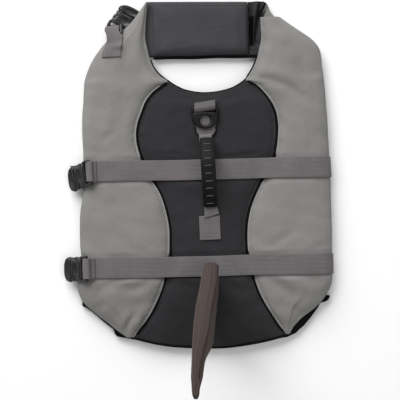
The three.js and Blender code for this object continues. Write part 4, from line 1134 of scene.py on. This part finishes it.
def build_ring():
    """The moulded D-ring: an eye plate on rays from the eye, two arms and the bar through the tab."""
    turn = np.arange(72) * 2 * math.pi / 72
    ray = np.stack([np.cos(turn), np.sin(turn)], -1)
    arc = np.linspace(0, math.pi, 25)
    edge = np.concatenate([
        np.stack([16.2 * np.cos(arc), -11 - 14 * np.sin(arc)], -1), [(-15.6, -6), (-11, -4.8), (0, -4.6), (11, -4.8), (15.6, -6)],
    ])
    centre = np.array([0, -14.8])
    a, b = edge - centre, np.roll(edge, -1, axis=0) - centre
    side = b - a
    cross = ray[:, None, 0] * side[None, :, 1] - ray[:, None, 1] * side[None, :, 0]
    far = (a[None, :, 0] * side[None, :, 1] - a[None, :, 1] * side[None, :, 0]) / np.where(cross == 0, 1e-9, cross)
    along = (a[None, :, 0] * ray[:, None, 1] - a[None, :, 1] * ray[:, None, 0]) / np.where(cross == 0, 1e-9, cross)
    reach = np.where((far > 0) & (along >= -1e-6) & (along <= 1 + 1e-6), far, np.inf).min(axis=1)
    section = round_section(20, 1, 1, 2.6)
    inner, half = 6.3, (reach - 6.3) / 2
    radius = inner + half[:, None] * (1 + section[None, :, 0])
    points = np.stack([
        centre[0] + radius * ray[:, :1], centre[1] + radius * ray[:, 1:], 2.25 * section[None, :, 1] + 0 * radius,
    ], -1)
    parts = [(points, tube_quads(72, 20, loop=True))]
    for hand in (-1, 1):
        parts.append(bar_between((hand * 14.6, 1.4, 0), (hand * 15.2, -9, 0), 1.7, 2.2, 2.6))
    parts.append(bar_between((-15.6, 0, 0), (15.6, 0, 0), 2.15, 2.15, 2.2))
    origin = np.array([RING_X, RING_Y, RING_Z])
    make_piece("lead_ring", [(p + origin, q) for p, q in parts], finish_of("ring_plastic"),
               ["d_ring"], body="d_ring")


def sewn_web(name, node, table, centre, finish, skew=0.0):
    """Flat webbing sewn to the back: y and half width from a table, height from the cloth below."""
    cloud = cloud_of("back")
    y = spaced(table[-1, 0] - table[0, 0], 0.8) + table[0, 0]
    half = np.interp(y, table[:, 0], table[:, 1])
    lines = []
    for side in (-1, 1):
        x = centre + side * half + skew * (y - y.mean())
        top = np.maximum(height_at(cloud, x, y), height_at(cloud, np.full_like(y, centre), y) - 0.6)
        lines.append(np.stack([x, y + side * 0.3, top + GAP + WEB / 2], -1))
    solid, uv = ribbon(lines[0], lines[1])
    obj = make_piece(name, [solid], finish_of(finish), [node], uv=uv)
    return obj


def build_handle():
    """The handle's webbing: from the ring, its folds and edges, and the patch with the strap's end on it; the grip is
    made by build_grip.
    """
    front = np.array([(96, 6.2), (98, 7.4), (102, 10.8), (105, 12.4), (127.6, 12.4)])
    patch = np.array([(-27, 12.8), (2.5, 12.8)])
    sewn_web("handle_front_webbing", "handle_front", front, -1.0, "webbing")
    sewn_web("handle_patch_webbing", "handle_patch", patch, 1.6, "webbing", skew=-0.02)
    cloud = cloud_of("back")
    t = np.linspace(0, 1, 24)
    # The front fold is painted lighter than the other webbing, a painted highlight where it faces the light.
    for name, left, right, lift, finish in (
        ("handle_end_flap", ((-4.5, -0.5), (-5, 13.5)), ((13.4, 4.4), (11, 13.5)), 0.1, "webbing"),
        ("handle_front_fold", ((-8.8, 91.6), (-9.4, 101)), ((6.4, 91.6), (6.2, 102.4)), 0.1, "light_webbing"),
    ):
        lines = []
        for (x0, y0), (x1, y1) in (left, right):
            x, y = x0 + (x1 - x0) * t, y0 + (y1 - y0) * t
            z = np.maximum(height_at(cloud, x, y), height_at(cloud, 0 * x + 1, y) - 0.6)
            lines.append(np.stack([x, y, z + GAP + 1.5 * WEB + lift], -1))
        solid, uv = ribbon(*lines)
        obj = make_piece(name, [solid], finish_of(finish), uv=uv)
    edges = []
    for side in (-1, 1):
        x = np.array([-1 + side * w for w in (6.4, 7.4, 10.6, 12.2, 12.4)])
        y = np.array([96.6, 98.4, 102.4, 105.4, 111])
        z = height_at(cloud, x, y) + GAP + WEB + 0.3
        edges.append(sweep(refine_line(np.stack([x, y, z], -1), 0.7), round_section(10, 0.8, 0.7), taper=1))
    make_piece("handle_front_edges", edges, finish_of("black_trim"))


def build_grip():
    """The grip: a flat moulded core along the handle's arch, a bead on each edge, and ribs across both faces, coloured
    far lighter than the core as a painted highlight on their crests.
    """
    t = np.linspace(0, 1, 160)
    path = np.stack([3 * t - 0.3, 96.4 - 82.6 * t, 27.6 + 16 * np.sin(math.pi * t) ** 0.9], -1)
    _, across, above = frame_along(path, (0, 0, 1))
    wide = 0.99 + 0.05 * np.sin(math.pi * t)
    solids = [sweep(path, round_section(24, 7.8, 2.7, 5), scale=wide, taper=1)]
    for side in (-1, 1):
        bead = path + side * 7.2 * wide[:, None] * across + 1.5 * above
        solids.append(sweep(bead[1:-1], round_section(12, 1.35, 1.45), taper=1.5))
    make_piece("ribbed_grip", solids, finish_of("grip_rubber"), ["handle_grip"])
    # The ribs' colour is a painted highlight: the same rubber made far lighter.
    ribs = []
    for y in np.linspace(88.3, 19.2, 9):
        at = int(np.argmin(np.abs(path[:, 1] - y)))
        for level in (-2.9, 2.9):
            middle = path[at] + level * above[at]
            ribs.append(bar_between(middle - 4.3 * across[at], middle + 4.3 * across[at], 0.65, 0.85, 2))
    make_piece("grip_ribs", ribs, finish_of("rib_rubber"))


# Fin: height, front, rear, half thickness and x of each level section
FIN_SLICES = np.array([
    (0, -75, -136, 10, 1.2), (4, -75, -142, 9.2, 1.2), (9, -66, -144, 9, 1.5), (16, -58, -146, 9.2, 1.8),
    (26, -54, -147, 9.6, 1.6), (38, -58, -149, 9.6, 0.8), (50, -68, -152, 9.7, -0.8), (62, -83, -156, 9.8, -3.6),
    (74, -103, -163, 9.8, -8.1),
    (85, -127, -174, 9.3, -11.7), (94, -152, -187, 7.6, -16.0), (101, -174, -197, 5.8, -18.5),
    (106, -192, -204.5, 4.2, -19.3),
])
# Round each section: share of the way back, share of the half thickness
FIN_TIP_ROUND = np.array([(0, 0.55), (0.1, 0.9), (0.35, 1), (0.7, 0.9), (0.9, 0.65), (1, 0.4)])
FIN_ROUND = np.array([(0, 0.55), (0.02, 0.88), (0.1, 0.97), (0.28, 0.95), (0.5, 0.72), (0.75, 0.42), (0.92, 0.24), (1, 0.12)])


def fin_side(side, level):
    """One side of the fin: a smooth surface from its front edge to its rear edge, level by level."""
    h, front, rear, half, x = (smooth_values(level, FIN_SLICES[:, 0], column) for column in FIN_SLICES.T)
    s = np.concatenate([np.linspace(0, 0.03, 5, endpoint=False), np.linspace(0.03, 1, 60)])
    low, high = (
        np.convolve(np.pad(np.interp(s, table[:, 0], table[:, 1]), 3, mode="edge"), np.ones(7) / 7, mode="valid")
        for table in (FIN_ROUND, FIN_TIP_ROUND)
    )
    share = np.clip((level - 84) / 14, 0, 1)[:, None]
    points = np.stack([
        x[:, None] + side * (low * (1 - share) + high * share) * half[:, None],
        front[:, None] + (rear - front)[:, None] * s[None],
        CROWN_Z + GAP + h[:, None] + 0 * s[None],
    ], -1)
    return points, s


def build_fin():
    """The fin: two cloth sides over foam with a front gusset, piped along both of the gusset's seams."""
    level = np.concatenate([np.linspace(0, 98, 96, endpoint=False), np.linspace(98, 106, 16)])
    sides = []
    for side in (-1, 1):
        points, s = fin_side(side, level)
        inner = np.sin(math.pi * np.clip(s, 0, 1))[None] * np.clip(level / 8, 0, 1)[:, None]
        wave = crease_depth(points[..., 1], points[..., 2], FIN_CREASES[side]) * 0.8
        rough = 0.35 * unevenness(points[..., 1], points[..., 2], 26, 60 + side)
        rough += 0.12 * unevenness(points[..., 1], points[..., 2], 9, 63 + side)
        points[..., 0] += side * (rough - wave) * inner
        sides.append(points)
    u = np.linspace(0, 1, 12)[None, 1:-1, None]
    gusset = sides[1][:, :1] + (sides[0][:, :1] - sides[1][:, :1]) * u
    crown = 1 - (2 * u - 1) ** 2
    folds = 0.5 * np.sin(17 * u + level[:, None, None] / 23) + 0.5 * np.sin(9 * u - level[:, None, None] / 31)
    gusset[..., 1:2] += crown * (1 + folds)
    gusset[..., 2:3] += crown * (0.8 + 0.5 * folds)
    rings = np.concatenate([sides[0], sides[1][:, ::-1], gusset], axis=1)
    obj = make_piece("fin_blade", [(rings, tube_quads(*rings.shape[:2]))], finish_of("fin_cloth"),
                     ["fin"])
    # The left seam's piping is painted lighter (painted highlight) and the right one darker (painted shade), for the
    # light from the left.
    for points, hand, finish in ((sides[0], "left", "fin_edge"), (sides[1], "right", "fin_shade")):
        seam = points[4:-4:2, 6] + (points[4:-4:2, 6] - points[4:-4:2, 26]) * 0.03
        make_piece(f"fin_seam_{hand}", [sweep(seam, round_section(10, 0.9, 0.9), up=(0, -1, 0), taper=1)],
                   finish_of(finish))
    rear = [(p[3:-3:2, -2] + [0, -0.6, 0]) for p in sides]
    make_piece("fin_rear_seam", [sweep((rear[0] + rear[1]) / 2, round_section(10, 1.3, 0.9), up=(1, 0, 0), taper=1)],
               finish_of("fin_cloth"))
    return obj


# Creases on each side of the fin, in its own plane: y, z twice, bow, half width, depth
FIN_CREASES = {
    -1: np.array([(-80, 34, -120, 40, 3, 5, 1), (-100, 70, -140, 78, 3, 5, 0.9), (-150, 106, -176, 112, 2, 4, 0.9)]),
    1: np.array([(-76, 40, -110, 34, 3, 5, 1), (-130, 92, -150, 72, 3, 4, 1.6), (-160, 112, -182, 110, 2, 4, 1)]),
}


# Sewing

def build_cloth_stitching():
    """Topstitching beside the piping on the grey panels, and along the neck and the hem."""
    sewn = []
    for name in ("side_left", "side_right"):
        grid = surface(name)
        run = np.cumsum(np.linalg.norm(np.diff(grid, axis=1, prepend=grid[:, :1]), axis=2), axis=1)
        column = np.argmin(np.abs(run - 3.1), axis=1)
        line = grid[np.arange(len(grid)), column]
        sewn += [stitches(lifted(part, 0.1)) for part in visible(line[6:-8])]
    make_piece("side_topstitching", sewn, finish_of("grey_thread"))
    back = surface("back")
    hem = lifted(back[3, 6:-6], 0.08)
    neck = lifted(back[-4, 8:-8], 0.08)
    make_piece("back_topstitching", [stitches(hem), stitches(neck)], finish_of("dark_thread"))


def across_rows(y_values, x0, x1, cloud, extra):
    """Straight lines across X at some y, at a cloth's height plus an amount."""
    lines = []
    for y in y_values:
        x = np.linspace(x0, x1, 40)
        lines.append(np.stack([x, np.full(40, float(y)), height_at(cloud, x, np.full(40, float(y))) + extra], -1))
    return lines


def build_web_stitching():
    """Stitch rows on the tabs, the patch and the chin float."""
    back, left = cloud_of("back"), cloud_of("side_left")
    on_web = GAP + WEB + 0.02
    lines = across_rows((-22.5, -18.5), -9.5, 13, back, on_web)
    lines += across_rows((107.5, 110.5), -11, 9, back, on_web)
    lines += across_rows((200.5, 203), -125, -105, left, on_web + 0.1)
    sewn = [stitches(line, 2.6, 1.9, 0.24) for line in lines]
    make_piece("webbing_stitching", sewn, finish_of("web_thread"))
    x = np.linspace(-55, 50, 90)
    rows = []
    for y in (CHIN_HIGH - 3.4, CHIN_HIGH - 6.6):
        v = np.full(90, (y - CHIN_LOW) / (CHIN_HIGH - CHIN_LOW) * 2 - 1)
        z = chin_height(x, v) - 0.7 + 0.35 * unevenness(x, np.full(90, y), 34, 41) + 0.12
        rows.append(stitches(np.stack([x, y - CHIN_SLANT * x * (v + 1) / 2, z], -1)))
    make_piece("chin_stitching", rows, finish_of("dark_thread"))


# Stage

PHOTO_CENTRE = (-9.8, 21.8)
FOCUS_HEIGHT = 20
PHOTO_WIDTH = 488
PHOTO_TURN = 1.2


def area_light(name, place, size, power, colour=(1, 1, 1)):
    """A square soft light aimed at the middle of the jacket."""
    data = bpy.data.lights.new(name, "AREA")
    data.shape = "SQUARE"
    data.size = size
    data.energy = power
    data.color = colour
    light = bpy.data.objects.new(name, data)
    light.location = place
    light.rotation_euler = (Vector((0, 0.03, 0)) - Vector(place)).to_track_quat("-Z", "Y").to_euler()
    bpy.context.scene.collection.objects.link(light)


def build_stage():
    """A pale floor, soft studio light and the camera straight above, where the photo was taken from."""
    stage = bpy.context.scene.jacket_stage
    mesh = bpy.data.meshes.new("floor")
    mesh.from_pydata([(-6, -6, 0), (6, -6, 0), (6, 6, 0), (-6, 6, 0)], [], [(0, 1, 2, 3)])
    material, _, shader = new_shader("pale_floor", 0.9, 0.1)
    shader.inputs["Base Color"].default_value = (0.97, 0.97, 0.97, 1)
    mesh.materials.append(material)
    floor = bpy.data.objects.new("floor", mesh)
    floor.location.z = -0.0003
    bpy.context.scene.collection.objects.link(floor)
    world = bpy.data.worlds.new("studio")
    world.use_nodes = True
    world.node_tree.nodes["Background"].inputs["Color"].default_value = (1, 1, 1, 1)
    world.node_tree.nodes["Background"].inputs["Strength"].default_value = stage.ambient
    bpy.context.scene.world = world
    area_light("key", (-0.9, 1.9, 1.5), 2.2, stage.key_power)
    area_light("fill", (0.9, -0.6, 1.9), 1.6, stage.fill_power)
    camera = bpy.data.cameras.new("camera")
    camera.sensor_width = 36
    camera.lens = 36 * stage.camera_distance / (PHOTO_WIDTH * MM)
    camera.clip_start, camera.clip_end = 0.1, 20
    eye = bpy.data.objects.new("camera", camera)
    eye.location = (PHOTO_CENTRE[0] * MM, PHOTO_CENTRE[1] * MM, stage.camera_distance + FOCUS_HEIGHT * MM)
    eye.rotation_euler = (0, 0, -math.radians(PHOTO_TURN))
    bpy.context.scene.collection.objects.link(eye)
    bpy.context.scene.camera = eye
    bpy.context.scene.view_settings.view_transform = "Standard"


# Settings, operators and panel

def colour_property(name, default, description):
    """A colour setting of the sidebar."""
    return FloatVectorProperty(name=name, description=description, subtype="COLOR", size=3, min=0, max=1,
                               default=default)


class JacketColours(bpy.types.PropertyGroup):
    """Colours of the cloths, webbing and plastic."""

    grey: colour_property("Side cloth", srgb(128, 127, 125), "Light grey cloth of the side panels")
    dark: colour_property("Back cloth", srgb(46, 46, 48), "Charcoal cloth of the back panel and the wing")
    pad: colour_property("Chin cloth", srgb(64, 63, 66), "Mid grey cloth of the chin float")
    fin: colour_property("Fin cloth", srgb(79, 69, 66), "Brown-grey cloth of the fin")
    trim: colour_property("Binding", srgb(9, 9, 9), "Black piping, binding and belly cloth")
    webbing: colour_property("Webbing", srgb(109, 105, 106), "Grey webbing of the belts and tabs")
    plastic: colour_property("Plastic", srgb(26, 25, 26), "Black buckles, ring and grip")


class JacketSizes(bpy.types.PropertyGroup):
    """Sizes of the cloth's finer form."""

    crease_depth: FloatProperty(name="Crease depth", description="Multiplies the depth of the creases set by hand",
                                default=1.0, min=0, max=3, subtype="FACTOR")
    belt_waver: FloatProperty(name="Belt waver", description="Phase of the belts' slow waver",
                              default=0.6, min=0, max=6.3, subtype="ANGLE")


class JacketStage(bpy.types.PropertyGroup):
    """Camera and light of the picture."""

    camera_distance: FloatProperty(name="Camera distance", description="From the lens to the top of the cloth",
                                   default=1.6, min=0.5, max=5, unit="LENGTH")
    key_power: FloatProperty(name="Key light", description="Power of the light from the neck's left",
                             default=86.0, min=0, max=500, unit="POWER")
    fill_power: FloatProperty(name="Fill light", description="Power of the light from the hem's right",
                              default=10.0, min=0, max=500, unit="POWER")
    ambient: FloatProperty(name="Ambient", description="Brightness of the studio all round", default=0.32, min=0, max=2)


class JACKET_OT_stage(bpy.types.Operator):
    """Floor, lights and camera"""

    bl_idname = "jacket.stage"
    bl_label = "Stage"

    def execute(self, context):
        build_stage()
        return {"FINISHED"}


class JACKET_OT_panels(bpy.types.Operator):
    """Back panel and both side panels"""

    bl_idname = "jacket.panels"
    bl_label = "Upper Panels"

    def execute(self, context):
        build_back()
        build_side(-1)
        build_side(1)
        return {"FINISHED"}


class JACKET_OT_under(bpy.types.Operator):
    """Belly panel and chest flaps"""

    bl_idname = "jacket.under"
    bl_label = "Under Panels"

    def execute(self, context):
        build_under("belly_lining", belly_table(), "black_trim", "belly_panel", 31, True)
        build_under("left_chest_flap", FLAP_LEFT, "grey_cloth", "chest_flap_left", 33)
        build_under("right_chest_flap", FLAP_RIGHT, "grey_cloth", "chest_flap_right", 35)
        return {"FINISHED"}


class JACKET_OT_chin(bpy.types.Operator):
    """Chin float, its binding and the dark wing"""

    bl_idname = "jacket.chin"
    bl_label = "Chin Float"

    def execute(self, context):
        build_chin()
        build_wing()
        return {"FINISHED"}


class JACKET_OT_trim(bpy.types.Operator):
    """Piping and binding tapes"""

    bl_idname = "jacket.trim"
    bl_label = "Piping and Bindings"

    def execute(self, context):
        build_piping(-1)
        build_piping(1)
        build_bindings()
        return {"FINISHED"}


class JACKET_OT_belts(bpy.types.Operator):
    """Both belts, the neck tab and the neck strap"""

    bl_idname = "jacket.belts"
    bl_label = "Webbing"

    def execute(self, context):
        waver = context.scene.jacket_sizes.belt_waver
        build_belt("chest", int(np.flatnonzero(ROW_Y == 46.5)[0]), waver)
        build_belt("belly", int(np.flatnonzero(ROW_Y == -71.5)[0]), waver + 1)
        build_neck_straps()
        return {"FINISHED"}


class JACKET_OT_buckles(bpy.types.Operator):
    """Three side-release buckles"""

    bl_idname = "jacket.buckles"
    bl_label = "Buckles"

    def execute(self, context):
        for name in BUCKLE_PLACES:
            build_buckle(name)
        return {"FINISHED"}


class JACKET_OT_handle(bpy.types.Operator):
    """Ring, its tab and the handle"""

    bl_idname = "jacket.handle"
    bl_label = "Ring and Handle"

    def execute(self, context):
        build_ring_tab()
        build_ring()
        build_handle()
        build_grip()
        return {"FINISHED"}


class JACKET_OT_fin(bpy.types.Operator):
    """Foam fin"""

    bl_idname = "jacket.fin"
    bl_label = "Fin"

    def execute(self, context):
        build_fin()
        return {"FINISHED"}


class JACKET_OT_sewing(bpy.types.Operator):
    """Topstitching and stitch rows"""

    bl_idname = "jacket.sewing"
    bl_label = "Sewing"

    def execute(self, context):
        build_cloth_stitching()
        build_web_stitching()
        return {"FINISHED"}


OPERATORS = (
    JACKET_OT_stage, JACKET_OT_panels, JACKET_OT_under, JACKET_OT_chin, JACKET_OT_trim, JACKET_OT_belts,
    JACKET_OT_buckles, JACKET_OT_handle, JACKET_OT_fin, JACKET_OT_sewing,
)


class JACKET_PT_sidebar(bpy.types.Panel):
    """Settings and steps of the life jacket"""

    bl_label = "Life Jacket"
    bl_idname = "JACKET_PT_sidebar"
    bl_space_type = "VIEW_3D"
    bl_region_type = "UI"
    bl_category = "Life Jacket"

    def draw(self, context):
        scene = context.scene
        for group in (scene.jacket_colours, scene.jacket_sizes, scene.jacket_stage):
            box = self.layout.box()
            for name in group.__annotations__:
                box.prop(group, name)
        for operator in OPERATORS:
            self.layout.operator(operator.bl_idname)


GROUPS = {"jacket_colours": JacketColours, "jacket_sizes": JacketSizes, "jacket_stage": JacketStage}
CLASSES = (*GROUPS.values(), *OPERATORS, JACKET_PT_sidebar)


def register():
    """Adds the classes and the settings."""
    for cls in CLASSES:
        bpy.utils.register_class(cls)
    for name, group in GROUPS.items():
        setattr(bpy.types.Scene, name, PointerProperty(type=group))


def unregister():
    """Removes the settings and the classes."""
    for name in GROUPS:
        delattr(bpy.types.Scene, name)
    for cls in reversed(CLASSES):
        bpy.utils.unregister_class(cls)


def main():
    """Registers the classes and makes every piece."""
    register()
    for operator in OPERATORS:
        group, name = operator.bl_idname.split(".")
        getattr(getattr(bpy.ops, group), name)()


if __name__ == "__main__":
    main()
